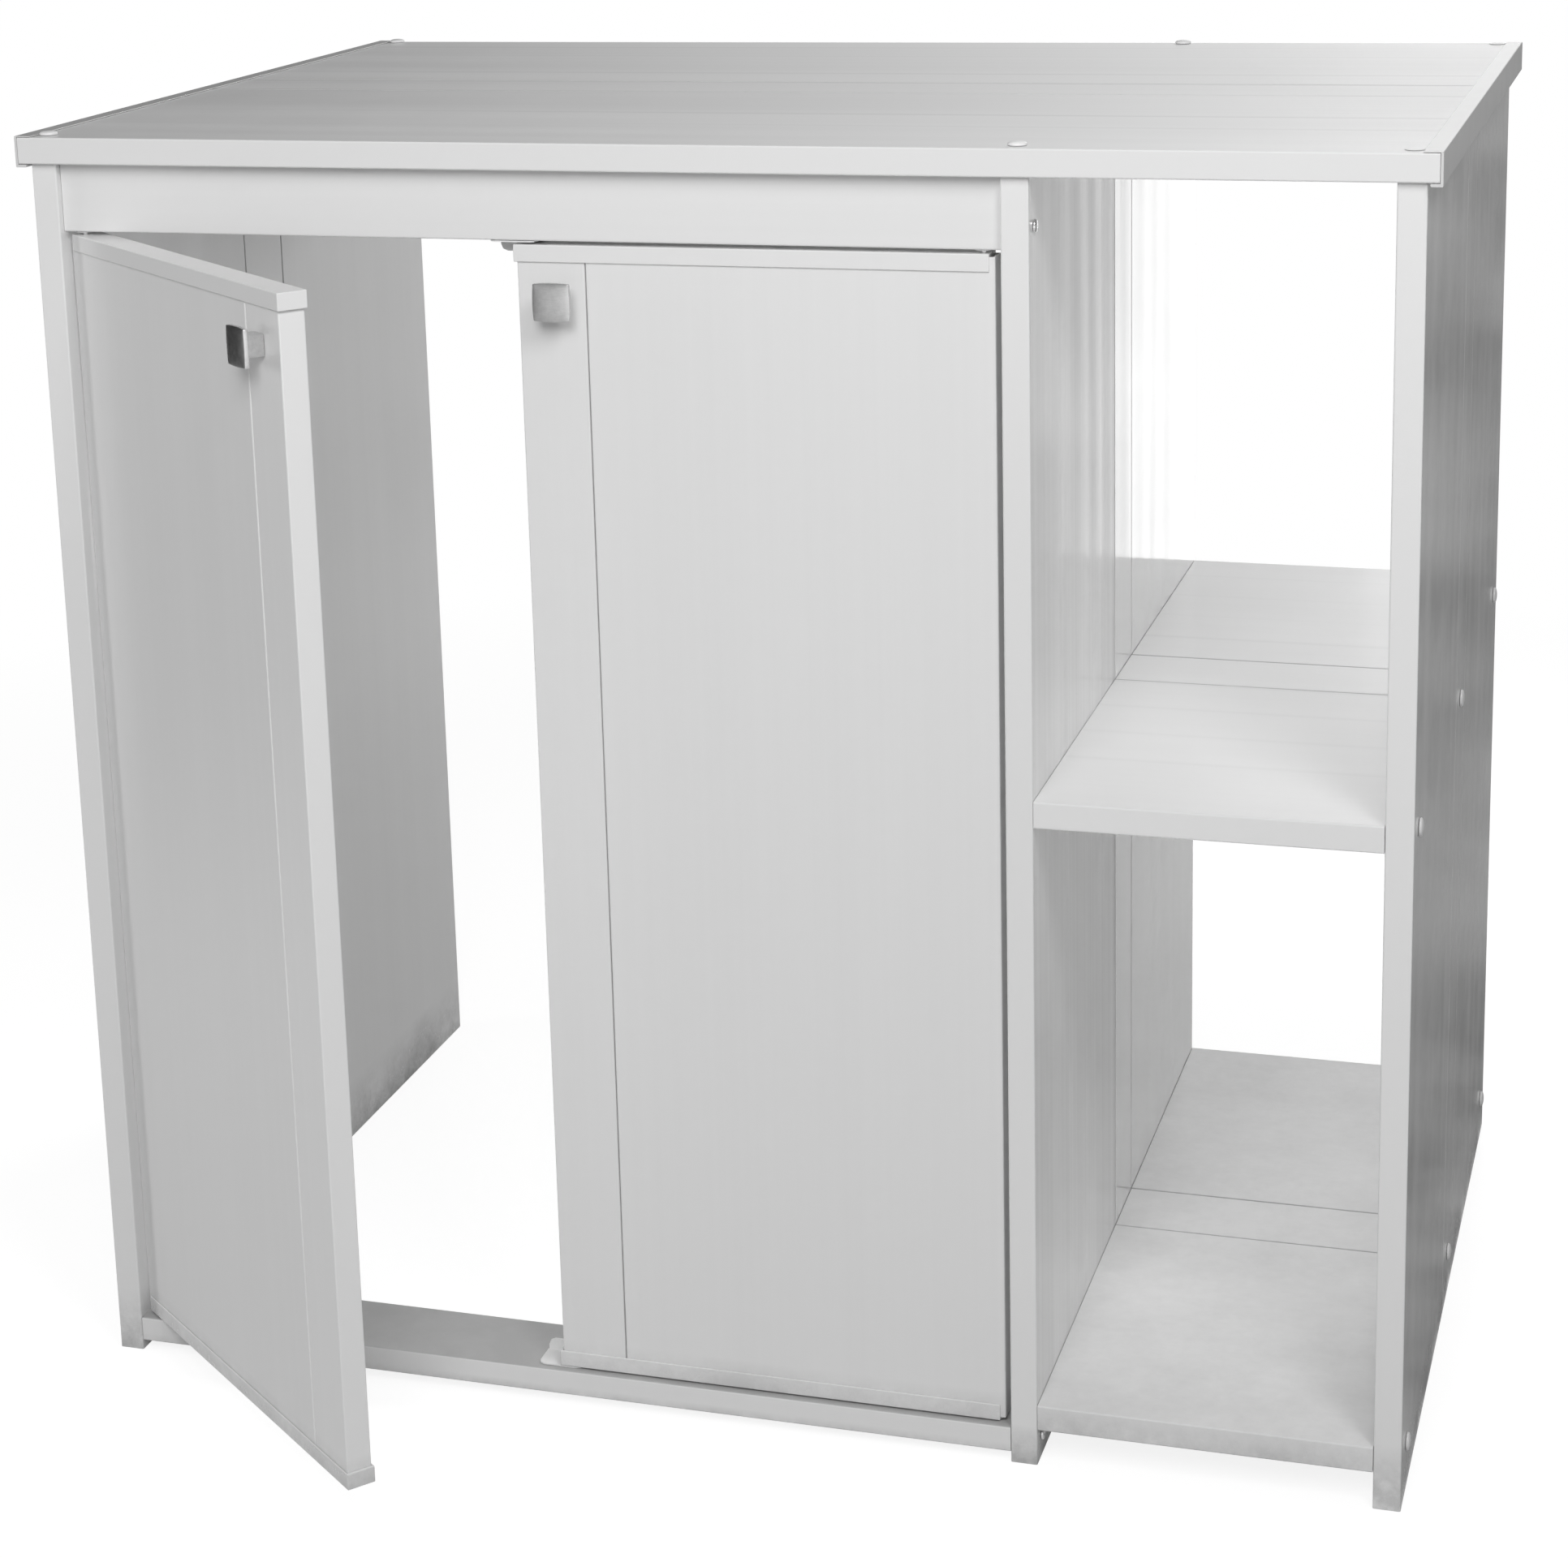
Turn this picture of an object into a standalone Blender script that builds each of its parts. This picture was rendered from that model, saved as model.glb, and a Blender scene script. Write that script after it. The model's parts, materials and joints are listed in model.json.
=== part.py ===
"""A washing machine cabinet built from hollow plastic planks, in metres with +Z up.

The drawing frame has X from the outer face of the top's left end cap to the right, Y from
the top's front edge to the back, and Z up from the floor. The root empty moves that frame
so that the world's origin lies under the middle of the cabinet's box, on the floor.
"""

import math

import bmesh
import bpy
from mathutils import Matrix, Vector

# Driving dimensions of the cabinet
WASHER_BAY_WIDTH = 0.6835
SHELF_BAY_WIDTH = 0.235
CARCASS_HEIGHT = 0.9197
TOP_SIDE_OVERHANG = 0.00765
TOP_FRONT_OVERHANG = 0.0045
BOTTOM_SHELF_HEIGHT = 0.027
MIDDLE_SHELF_HEIGHT = 0.476

# Planks: three make a panel, two make a door
PLANK_THICKNESS = 0.019
WIDE_PLANK_WIDTH = 0.299
JOINT_PLANK_WIDTH = 0.0684
NARROW_PLANK_WIDTH = 0.049
RAIL_WIDTH = 0.069
PLANK_WALL = 0.0015
PLANK_RIB = 0.0012
RIB_PITCH = 0.064
EDGE_RADIUS = 0.001
TONGUE_LENGTH = 0.006
TONGUE_THICKNESS = 0.008
TONGUE_TAPER = 0.0004
SCREW_WEB_WIDTH = 0.008
OUTER_WEB_INSET = 0.011
INNER_WEB_INSET = 0.032
NARROW_WEB_INSET = 0.015

# Clearance between pieces that touch, and how far a cutter runs past what it cuts
FIT_GAP = 0.0003
CUT_OVERRUN = 0.002

# Front members between the left side and the divider
FASCIA_SETBACK = 0.006
RAIL_SETBACK = 0.0005
RAIL_HEIGHT = 0.0075

# End caps of the top
END_CAP_WEB = 0.0018
END_CAP_UPPER_WALL = 0.0007
END_CAP_LOWER_FLANGE = 0.008
END_CAP_LOWER_WALL = 0.002
END_CAP_RADIUS = 0.0006

# Doors
DOOR_SETBACK = 0.0067
DOOR_TOP_GAP = 0.0027
DOOR_BOTTOM_GAP = 0.0015
LEFT_HINGE_GAP = 0.0035
RIGHT_HINGE_GAP = 0.005
DOOR_MEETING_GAP = 0.0015
LEFT_DOOR_SWING = math.radians(39.5)
DOOR_CAP_WEB = 0.0018
DOOR_CAP_WALL = 0.0009
DOOR_CAP_HEIGHT = 0.012
DOOR_CAP_PROUD = 0.00225
DOOR_CAP_SHORT = 0.004
DOOR_CAP_RADIUS = 0.0006

# Pivots: a steel pin in each door corner turns in a bush of the fascia or the rail
PIN_RADIUS = 0.0025
PIN_INSET = 0.009
PIN_SETBACK = 0.0075
PIN_GRIP = 0.030
PIN_REACH = 0.005
PIN_WEB_WIDTH = 0.010
BUSH_RADIUS = 0.0045
BUSH_LENGTH = 0.006
BUSH_FLANGE_RADIUS = 0.006
BUSH_FLANGE = 0.0009

# Knobs
KNOB_SIDE = 0.027
KNOB_BULGE = 0.0007
KNOB_PLATE = 0.0045
KNOB_PROJECTION = 0.0185
KNOB_POST = 0.016
KNOB_EDGE_RADIUS = 0.0007
KNOB_DROP = 0.037
KNOB_INSET = 0.02975
KNOB_SCREW_BITE = 0.009

# Door stops: a base plate under the fascia or on the rail, and a tab behind the doors
STOP_WIDTH = 0.0345
STOP_BASE = 0.0009
STOP_CORNER_RADIUS = 0.005
STOP_TAB_WIDTH = 0.032
STOP_TAB_THICKNESS = 0.0015
STOP_TAB_HEIGHT = 0.0104
STOP_PEG_RADIUS = 0.0025
STOP_PEG_LENGTH = 0.004

# Screws: white domes outside, bare pan heads inside
SHANK_RADIUS = 0.0017
SHANK_LENGTH = 0.040
SHANK_TIP = 0.003
SCREW_HOLE_RADIUS = 0.0023
DOME_RADIUS = 0.0065
DOME_HEIGHT = 0.0028
DOME_RIM = 0.0009
PAN_RADIUS = 0.004
PAN_HEIGHT = 0.002
PAN_RIM = 0.0011

# Faceting of round shapes
CORNER_SEGMENTS = 2
BORE_SIDES = 12
TURN_STEPS = 16
DOME_SEGMENTS = 3
KNOB_SIDE_SEGMENTS = 4
SMOOTH_ANGLE = math.radians(40)
WELD_DISTANCE = 0.00001

# Places in the drawing frame
TOP_LEFT_END = END_CAP_WEB + FIT_GAP
LEFT_OUTER = TOP_LEFT_END + TOP_SIDE_OVERHANG
LEFT_INNER = LEFT_OUTER + PLANK_THICKNESS
DIVIDER_LEFT = LEFT_INNER + WASHER_BAY_WIDTH
DIVIDER_RIGHT = DIVIDER_LEFT + PLANK_THICKNESS
RIGHT_INNER = DIVIDER_RIGHT + SHELF_BAY_WIDTH
RIGHT_OUTER = RIGHT_INNER + PLANK_THICKNESS
TOP_RIGHT_END = RIGHT_OUTER + TOP_SIDE_OVERHANG
OVERALL_WIDTH = TOP_RIGHT_END + FIT_GAP + END_CAP_WEB
PANEL_CENTRES = {
    "left": (LEFT_OUTER + LEFT_INNER) / 2,
    "middle": (DIVIDER_LEFT + DIVIDER_RIGHT) / 2,
    "right": (RIGHT_INNER + RIGHT_OUTER) / 2,
}
END_CAP_UPPER_FLANGE = PANEL_CENTRES["left"] - DOME_RADIUS - FIT_GAP
PANEL_DEPTH = WIDE_PLANK_WIDTH + FIT_GAP + JOINT_PLANK_WIDTH + FIT_GAP + WIDE_PLANK_WIDTH
BODY_FRONT = TOP_FRONT_OVERHANG
BODY_BACK = BODY_FRONT + PANEL_DEPTH
TOP_UNDERSIDE = CARCASS_HEIGHT + FIT_GAP
FASCIA_BOTTOM = CARCASS_HEIGHT - NARROW_PLANK_WIDTH
FASCIA_FRONT = BODY_FRONT + FASCIA_SETBACK
FASCIA_MIDDLE = FASCIA_FRONT + PLANK_THICKNESS / 2
RAIL_FRONT = BODY_FRONT + RAIL_SETBACK
RAIL_TOP = RAIL_HEIGHT + PLANK_THICKNESS
RAIL_MIDDLE = RAIL_HEIGHT + PLANK_THICKNESS / 2

# Places on the doors
DOOR_FRONT = BODY_FRONT + DOOR_SETBACK
DOOR_BOTTOM = RAIL_TOP + DOOR_BOTTOM_GAP
DOOR_TOP = FASCIA_BOTTOM - DOOR_TOP_GAP
DOOR_PLANK_BOTTOM = DOOR_BOTTOM + DOOR_CAP_WEB + FIT_GAP
DOOR_PLANK_TOP = DOOR_TOP - DOOR_CAP_WEB - FIT_GAP
DOOR_GAPS = LEFT_HINGE_GAP + RIGHT_HINGE_GAP + DOOR_MEETING_GAP + 2 * DOOR_CAP_PROUD
DOOR_WIDTH = (WASHER_BAY_WIDTH - DOOR_GAPS) / 2
DOOR_WIDE_WIDTH = DOOR_WIDTH - NARROW_PLANK_WIDTH - FIT_GAP
DOOR_MIDDLE = PLANK_THICKNESS / 2 - PIN_SETBACK
PIN_Y = DOOR_FRONT + PIN_SETBACK
LEFT_PIN_X = LEFT_INNER + LEFT_HINGE_GAP + PIN_INSET
RIGHT_PIN_X = DIVIDER_LEFT - RIGHT_HINGE_GAP - PIN_INSET
LEFT_DOOR_END = LEFT_INNER + LEFT_HINGE_GAP + DOOR_WIDTH + DOOR_CAP_PROUD
MEETING_X = LEFT_DOOR_END + DOOR_MEETING_GAP / 2
STOP_TAB_FRONT = DOOR_FRONT + PLANK_THICKNESS + FIT_GAP + DOOR_CAP_WALL + FIT_GAP

# Directions
RIGHT = Vector((1, 0, 0))
LEFT = Vector((-1, 0, 0))
BACK = Vector((0, 1, 0))
FRONT = Vector((0, -1, 0))
UP = Vector((0, 0, 1))
DOWN = Vector((0, 0, -1))

# Finishes: base colour, roughness, metallic
WHITE_PLANK = ((0.80, 0.80, 0.80), 0.32, 0.0)
WHITE_TRIM = ((0.83, 0.83, 0.83), 0.28, 0.0)
WHITE_MOULDING = ((0.82, 0.82, 0.82), 0.40, 0.0)
SATIN_METAL = ((0.55, 0.55, 0.55), 0.35, 1.0)
BRIGHT_STEEL = ((0.60, 0.60, 0.60), 0.30, 1.0)


def clear_scene():
    for piece in list(bpy.data.objects):
        bpy.data.objects.remove(piece)


def new_collection(name, helpers=False):
    collection = bpy.data.collections.new(name)
    collection.hide_render = helpers
    bpy.context.scene.collection.children.link(collection)
    return collection


def new_empty(name, parent, place):
    empty = bpy.data.objects.new(name, None)
    empty.parent = parent
    empty.location = place
    PARTS.objects.link(empty)
    return empty


def facing(across, upward):
    """The rotation that turns local X to the first direction and local Y to the second."""
    return Matrix((across, upward, across.cross(upward))).transposed().to_euler()


def pointing(outward):
    """A rotation that turns local Z to the direction."""
    return outward.to_track_quat("Z", "Y").to_euler()


def set_piece(piece, parent, place, rotation, finish):
    """Puts a part in its place with a finish of its own; without a finish it is a cutter."""
    piece.parent = parent
    piece.location = place
    piece.rotation_euler = rotation
    if finish is None:
        CUTTERS.objects.link(piece)
        piece.hide_render = True
        piece.display_type = "WIRE"
        return piece
    PARTS.objects.link(piece)
    colour, roughness, metallic = finish
    material = bpy.data.materials.new(piece.name + "_finish")
    material.use_nodes = True
    shader = material.node_tree.nodes["Principled BSDF"]
    shader.inputs["Base Color"].default_value = (*colour, 1)
    shader.inputs["Roughness"].default_value = roughness
    shader.inputs["Metallic"].default_value = metallic
    piece.data.materials.append(material)
    return piece


def settled(piece):
    """The mesh that the object's curve or modifiers give, welded and smooth but for its sharp edges."""
    bpy.context.scene.collection.objects.link(piece)
    graph = bpy.context.evaluated_depsgraph_get()
    mesh = bpy.data.meshes.new_from_object(piece.evaluated_get(graph))
    bpy.data.objects.remove(piece)
    shape = bmesh.new()
    shape.from_mesh(mesh)
    bmesh.ops.remove_doubles(shape, verts=shape.verts, dist=WELD_DISTANCE)
    shape.to_mesh(mesh)
    shape.free()
    mesh.shade_smooth()
    mesh.set_sharp_from_angle(angle=SMOOTH_ANGLE)
    return mesh


def extrusion(name, outline, length):
    """A flat outline drawn out along local Z, half of the length to each side."""
    curve = bpy.data.curves.new(name, "CURVE")
    curve.dimensions = "2D"
    curve.fill_mode = "BOTH"
    curve.extrude = length / 2
    spline = curve.splines.new("POLY")
    spline.points.add(len(outline) - 1)
    for point, (x, y) in zip(spline.points, outline):
        point.co = (x, y, 0, 1)
    spline.use_cyclic_u = True
    return bpy.data.objects.new(name, settled(bpy.data.objects.new(name + "_curve", curve)))


def turned(name, profile, closed=False):
    """A profile of (radius, height) points, down its outer side, turned about local Z."""
    mesh = bpy.data.meshes.new(name)
    edges = [(i, i + 1) for i in range(len(profile) - 1)]
    if closed:
        edges.append((len(profile) - 1, 0))
    mesh.from_pydata([(radius, 0, height) for radius, height in profile], edges, [])
    lathe = bpy.data.objects.new(name + "_profile", mesh)
    screw = lathe.modifiers.new("turn", "SCREW")
    screw.axis = "Z"
    screw.steps = TURN_STEPS
    screw.render_steps = TURN_STEPS
    screw.use_merge_vertices = True
    screw.merge_threshold = WELD_DISTANCE
    return bpy.data.objects.new(name, settled(lathe))


def cylinder(name, radius, length, sides=BORE_SIDES):
    """A round bar centred on its origin along local Z."""
    shape = bmesh.new()
    bmesh.ops.create_cone(
        shape, cap_ends=True, segments=sides, radius1=radius, radius2=radius, depth=length
    )
    mesh = bpy.data.meshes.new(name)
    shape.to_mesh(mesh)
    shape.free()
    mesh.shade_smooth()
    mesh.set_sharp_from_angle(angle=SMOOTH_ANGLE)
    return bpy.data.objects.new(name, mesh)


def block(name, size):
    """A box centred on its origin."""
    shape = bmesh.new()
    bmesh.ops.create_cube(shape, size=1)
    bmesh.ops.scale(shape, vec=size, verts=shape.verts)
    mesh = bpy.data.meshes.new(name)
    shape.to_mesh(mesh)
    shape.free()
    return bpy.data.objects.new(name, mesh)


def soften(piece, width):
    bevel = piece.modifiers.new("soft edges", "BEVEL")
    bevel.width = width
    bevel.segments = CORNER_SEGMENTS
    bevel.limit_method = "ANGLE"


def combine(piece, other, operation):
    boolean = piece.modifiers.new(other.name, "BOOLEAN")
    boolean.object = other
    boolean.operation = operation


def drill(piece, name, radius, depth, centre, along):
    """Cuts a round hole about the centre, depth long and a little over at both ends."""
    bore = cylinder(name, radius, depth + 2 * CUT_OVERRUN)
    set_piece(bore, piece.parent, centre, pointing(along), None)
    combine(piece, bore, "DIFFERENCE")


def quarter(x, y, radius, start):
    """A quarter circle about (x, y), anticlockwise from the angle start."""
    turn = math.pi / 2 / CORNER_SEGMENTS
    angles = [start + turn * i for i in range(CORNER_SEGMENTS + 1)]
    return [(x + radius * math.cos(a), y + radius * math.sin(a)) for a in angles]


def edge_feature(kind, edge, outward):
    """The points, from low to high, of a tapered tongue or groove on a plank's edge."""
    root = TONGUE_THICKNESS / 2
    if kind == "tongue":
        reach = outward * TONGUE_LENGTH
    elif kind == "groove":
        reach = -outward * (TONGUE_LENGTH + FIT_GAP)
        root += FIT_GAP
    else:
        return []
    tip = root - TONGUE_TAPER
    return [(edge, -root), (edge + reach, -tip), (edge + reach, tip), (edge, root)]


def plank_outline(width, near, far):
    low = EDGE_RADIUS - PLANK_THICKNESS / 2
    high = -low
    return (
        quarter(EDGE_RADIUS, low, EDGE_RADIUS, math.pi)
        + quarter(width - EDGE_RADIUS, low, EDGE_RADIUS, -math.pi / 2)
        + edge_feature(far, width, 1)
        + quarter(width - EDGE_RADIUS, high, EDGE_RADIUS, 0)
        + quarter(EDGE_RADIUS, high, EDGE_RADIUS, math.pi / 2)
        + edge_feature(near, 0, -1)[::-1]
    )


def plank_chambers(width, far, webs):
    """The hollows between the walls, the webs and the thin ribs, as (start, end) along the width."""
    groove = TONGUE_LENGTH + FIT_GAP if far == "groove" else 0
    starts = [PLANK_WALL] + [x + web / 2 for x, _, _, web in webs]
    ends = [x - web / 2 for x, _, _, web in webs] + [width - groove - PLANK_WALL]
    chambers = []
    for start, end in zip(starts, ends):
        count = max(1, round((end - start) / RIB_PITCH))
        pitch = (end - start + PLANK_RIB) / count
        chambers += [(start + pitch * i, start + pitch * (i + 1) - PLANK_RIB) for i in range(count)]
    return chambers


def plank_cores(name, length, chambers, webs):
    """The chambers and the webs' bores as solid bars along local Z."""
    height = PLANK_THICKNESS - 2 * PLANK_WALL
    shape = bmesh.new()
    for start, end in chambers:
        size = Matrix.Diagonal((end - start, height, length, 1))
        place = Matrix.Translation(((start + end) / 2, 0, 0))
        bmesh.ops.create_cube(shape, size=1, matrix=place @ size)
    for x, y, bore, _ in webs:
        place = Matrix.Translation((x, y, 0))
        bmesh.ops.create_cone(
            shape,
            cap_ends=True,
            segments=BORE_SIDES,
            radius1=bore,
            radius2=bore,
            depth=length,
            matrix=place,
        )
    mesh = bpy.data.meshes.new(name + "_cores")
    shape.to_mesh(mesh)
    shape.free()
    return bpy.data.objects.new(name + "_cores", mesh)


def plank(name, width, length, near="plain", far="plain", webs=()):
    """A hollow plank along local Z, its near edge on the origin and its faces square to local Y.

    Each web is (place across the width, place across the thickness, bore radius, web width).
    """
    piece = extrusion(name, plank_outline(width, near, far), length)
    cores = plank_cores(name, length + 2 * CUT_OVERRUN, plank_chambers(width, far, webs), webs)
    combine(piece, cores, "DIFFERENCE")
    hollow = bpy.data.objects.new(name, settled(piece))
    bpy.data.objects.remove(cores)
    return hollow


def screw_webs(*places):
    return [(place, 0, SHANK_RADIUS + FIT_GAP, SCREW_WEB_WIDTH) for place in places]


def panel(name, length, corner, across, outward):
    """Three planks side by side from front to back, joined by tongue and groove.

    The corner is the middle of the panel's front edge, across its thickness and its length.
    """
    outer_webs = screw_webs(OUTER_WEB_INSET, INNER_WEB_INSET)
    joint_start = corner + BACK * (WIDE_PLANK_WIDTH + FIT_GAP)
    rows = (
        ("front", WIDE_PLANK_WIDTH, "plain", "groove", outer_webs, corner, facing(BACK, across)),
        (
            "joint",
            JOINT_PLANK_WIDTH,
            "tongue",
            "tongue",
            screw_webs(JOINT_PLANK_WIDTH / 2),
            joint_start,
            facing(BACK, across),
        ),
        (
            "rear",
            WIDE_PLANK_WIDTH,
            "plain",
            "groove",
            outer_webs,
            corner + BACK * PANEL_DEPTH,
            facing(FRONT, outward),
        ),
    )
    planks = {}
    for row, width, near, far, webs, place, rotation in rows:
        piece = plank(f"{name}_{row}_plank", width, length, near, far, webs)
        planks[row] = set_piece(piece, ROOT, place, rotation, WHITE_PLANK)
    return planks


def upright_panel(name, centre):
    corner = Vector((centre, BODY_FRONT, CARCASS_HEIGHT / 2))
    return panel(name, CARCASS_HEIGHT, corner, LEFT, RIGHT)


def flat_panel(name, left, right, front, underside):
    corner = Vector(((left + right) / 2, front, underside + PLANK_THICKNESS / 2))
    return panel(name, right - left, corner, UP, UP)


def end_cap(name, outer_face, inward):
    """A channel over the plank ends at one side of the top."""
    height = END_CAP_LOWER_WALL + FIT_GAP + PLANK_THICKNESS + FIT_GAP + END_CAP_UPPER_WALL
    upper = height - END_CAP_UPPER_WALL
    outline = quarter(END_CAP_RADIUS, END_CAP_RADIUS, END_CAP_RADIUS, math.pi)
    outline += [
        (END_CAP_LOWER_FLANGE, 0),
        (END_CAP_LOWER_FLANGE, END_CAP_LOWER_WALL),
        (END_CAP_WEB, END_CAP_LOWER_WALL),
        (END_CAP_WEB, upper),
        (END_CAP_UPPER_FLANGE, upper),
        (END_CAP_UPPER_FLANGE, height),
    ]
    outline += quarter(END_CAP_RADIUS, height - END_CAP_RADIUS, END_CAP_RADIUS, math.pi / 2)
    place = (outer_face, PANEL_DEPTH / 2, TOP_UNDERSIDE - FIT_GAP - END_CAP_LOWER_WALL)
    piece = extrusion(name, outline, PANEL_DEPTH)
    set_piece(piece, ROOT, place, facing(inward, UP), WHITE_TRIM)


def front_member(name, width, corner, across, upward):
    """A plank with plain edges between the left side and the divider."""
    webs = screw_webs(NARROW_WEB_INSET, width - NARROW_WEB_INSET)
    piece = plank(name, width, WASHER_BAY_WIDTH - 2 * FIT_GAP, webs=webs)
    return set_piece(piece, ROOT, corner, facing(across, upward), WHITE_PLANK)


def fastener(name, head, length, parent, seat, outward, finish):
    """A screw whose head rests on its seat and whose shank runs in from there."""
    shank = [
        (SHANK_RADIUS, 0),
        (SHANK_RADIUS, SHANK_TIP - length),
        (0, -length),
    ]
    place = Vector(seat) + outward * FIT_GAP
    set_piece(turned(name, head + shank), parent, place, pointing(outward), finish)


def head_profile(radius, height, rim):
    """A domed head: an elliptical crown over a short straight rim."""
    angles = [math.pi / 2 * i / DOME_SEGMENTS for i in range(DOME_SEGMENTS + 1)]
    crown = [(radius * math.sin(a), rim + (height - rim) * math.cos(a)) for a in angles]
    return crown + [(radius, 0)]


def screw_through(name, carrier, seat, outward, capped=True):
    """A screw through the whole thickness of the plank that carries its head."""
    if capped:
        head = head_profile(DOME_RADIUS, DOME_HEIGHT, DOME_RIM)
        finish = WHITE_MOULDING
    else:
        head = head_profile(PAN_RADIUS, PAN_HEIGHT, PAN_RIM)
        finish = BRIGHT_STEEL
    seat = Vector(seat)
    centre = seat - outward * PLANK_THICKNESS / 2
    drill(carrier, name + "_hole", SCREW_HOLE_RADIUS, PLANK_THICKNESS, centre, outward)
    fastener(name, head, SHANK_LENGTH, ROOT, seat, outward, finish)


def bush(name, carrier, seat, outward):
    """A flanged bush seated in a face of the fascia or the rail."""
    bore = PIN_RADIUS + FIT_GAP
    profile = [
        (BUSH_FLANGE_RADIUS, BUSH_FLANGE),
        (BUSH_FLANGE_RADIUS, 0),
        (BUSH_RADIUS, 0),
        (BUSH_RADIUS, -BUSH_LENGTH),
        (bore, -BUSH_LENGTH),
        (bore, BUSH_FLANGE),
    ]
    seat = Vector(seat)
    drill(carrier, name + "_hole", BUSH_RADIUS + FIT_GAP, 2 * BUSH_LENGTH, seat, outward)
    place = seat + outward * FIT_GAP
    piece = turned(name, profile, closed=True)
    set_piece(piece, ROOT, place, pointing(outward), WHITE_MOULDING)


def door_stop(name, carrier, seat_height, outward):
    """A base plate with rounded front corners, a tab across the doors' backs, and a peg."""
    half = STOP_WIDTH / 2
    back = STOP_TAB_FRONT + STOP_TAB_THICKNESS - FASCIA_FRONT
    inset = half - STOP_CORNER_RADIUS
    base_outline = quarter(-inset, STOP_CORNER_RADIUS, STOP_CORNER_RADIUS, math.pi)
    base_outline += quarter(inset, STOP_CORNER_RADIUS, STOP_CORNER_RADIUS, -math.pi / 2)
    base_outline += [(half, back), (-half, back)]
    side = LEFT if outward == DOWN else RIGHT
    place = Vector((MEETING_X, FASCIA_FRONT, seat_height)) + outward * (FIT_GAP + STOP_BASE / 2)
    stop = extrusion(name, base_outline, STOP_BASE)
    set_piece(stop, ROOT, place, facing(side, BACK), WHITE_MOULDING)

    tab_half = STOP_TAB_WIDTH / 2
    tab_inset = tab_half - STOP_CORNER_RADIUS
    tab_end = STOP_TAB_HEIGHT - STOP_CORNER_RADIUS
    tab_outline = [(-tab_half, 0), (tab_half, 0)]
    tab_outline += quarter(tab_inset, tab_end, STOP_CORNER_RADIUS, 0)
    tab_outline += quarter(-tab_inset, tab_end, STOP_CORNER_RADIUS, math.pi / 2)
    tab = extrusion(name + "_tab", tab_outline, STOP_TAB_THICKNESS)
    tab_place = Vector((MEETING_X, STOP_TAB_FRONT + STOP_TAB_THICKNESS / 2, seat_height))
    set_piece(tab, ROOT, tab_place + outward * FIT_GAP, facing(RIGHT, outward), None)
    combine(stop, tab, "UNION")

    peg = cylinder(name + "_peg", STOP_PEG_RADIUS, STOP_PEG_LENGTH + STOP_BASE / 2)
    peg_seat = Vector((MEETING_X, FASCIA_MIDDLE, seat_height))
    peg_place = peg_seat + outward * (FIT_GAP + STOP_BASE / 4 - STOP_PEG_LENGTH / 2)
    set_piece(peg, ROOT, peg_place, pointing(outward), None)
    combine(stop, peg, "UNION")
    hole = STOP_PEG_RADIUS + FIT_GAP
    drill(carrier, name + "_hole", hole, 2 * STOP_PEG_LENGTH, peg_seat, outward)


def door_cap(name, pivot, hand, rim, outward):
    """A channel over the plank ends of a door, closed at the door's free edge."""
    start = DOOR_CAP_SHORT - PIN_INSET
    end = DOOR_WIDTH + DOOR_CAP_PROUD - PIN_INSET
    channel_end = DOOR_WIDTH + FIT_GAP - PIN_INSET
    channel_start = start - CUT_OVERRUN
    depth = PLANK_THICKNESS + 2 * FIT_GAP
    cap = block(name, (end - start, depth + 2 * DOOR_CAP_WALL, DOOR_CAP_HEIGHT))
    soften(cap, DOOR_CAP_RADIUS)
    rim_place = Vector((hand * (start + end) / 2, DOOR_MIDDLE, rim))
    set_piece(cap, pivot, rim_place - outward * DOOR_CAP_HEIGHT / 2, (0, 0, 0), WHITE_TRIM)

    channel_height = DOOR_CAP_HEIGHT - DOOR_CAP_WEB + CUT_OVERRUN
    channel = block(name + "_channel", (channel_end - channel_start, depth, channel_height))
    channel_place = Vector((hand * (channel_start + channel_end) / 2, DOOR_MIDDLE, rim))
    channel_place -= outward * (DOOR_CAP_WEB + channel_height / 2)
    set_piece(channel, pivot, channel_place, (0, 0, 0), None)
    combine(cap, channel, "DIFFERENCE")
    pin_hole = PIN_RADIUS + FIT_GAP
    drill(cap, name + "_pin_hole", pin_hole, 2 * DOOR_CAP_WEB, Vector((0, 0, rim)), outward)


def knob_outline():
    """A square whose four sides bulge a little."""
    half = KNOB_SIDE / 2 - KNOB_BULGE
    points = []
    for side in range(4):
        turn = Matrix.Rotation(side * math.pi / 2, 2)
        for step in range(KNOB_SIDE_SEGMENTS):
            share = 2 * step / KNOB_SIDE_SEGMENTS - 1
            points.append(turn @ Vector((-share * half, half + KNOB_BULGE * (1 - share * share))))
    return points


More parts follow.
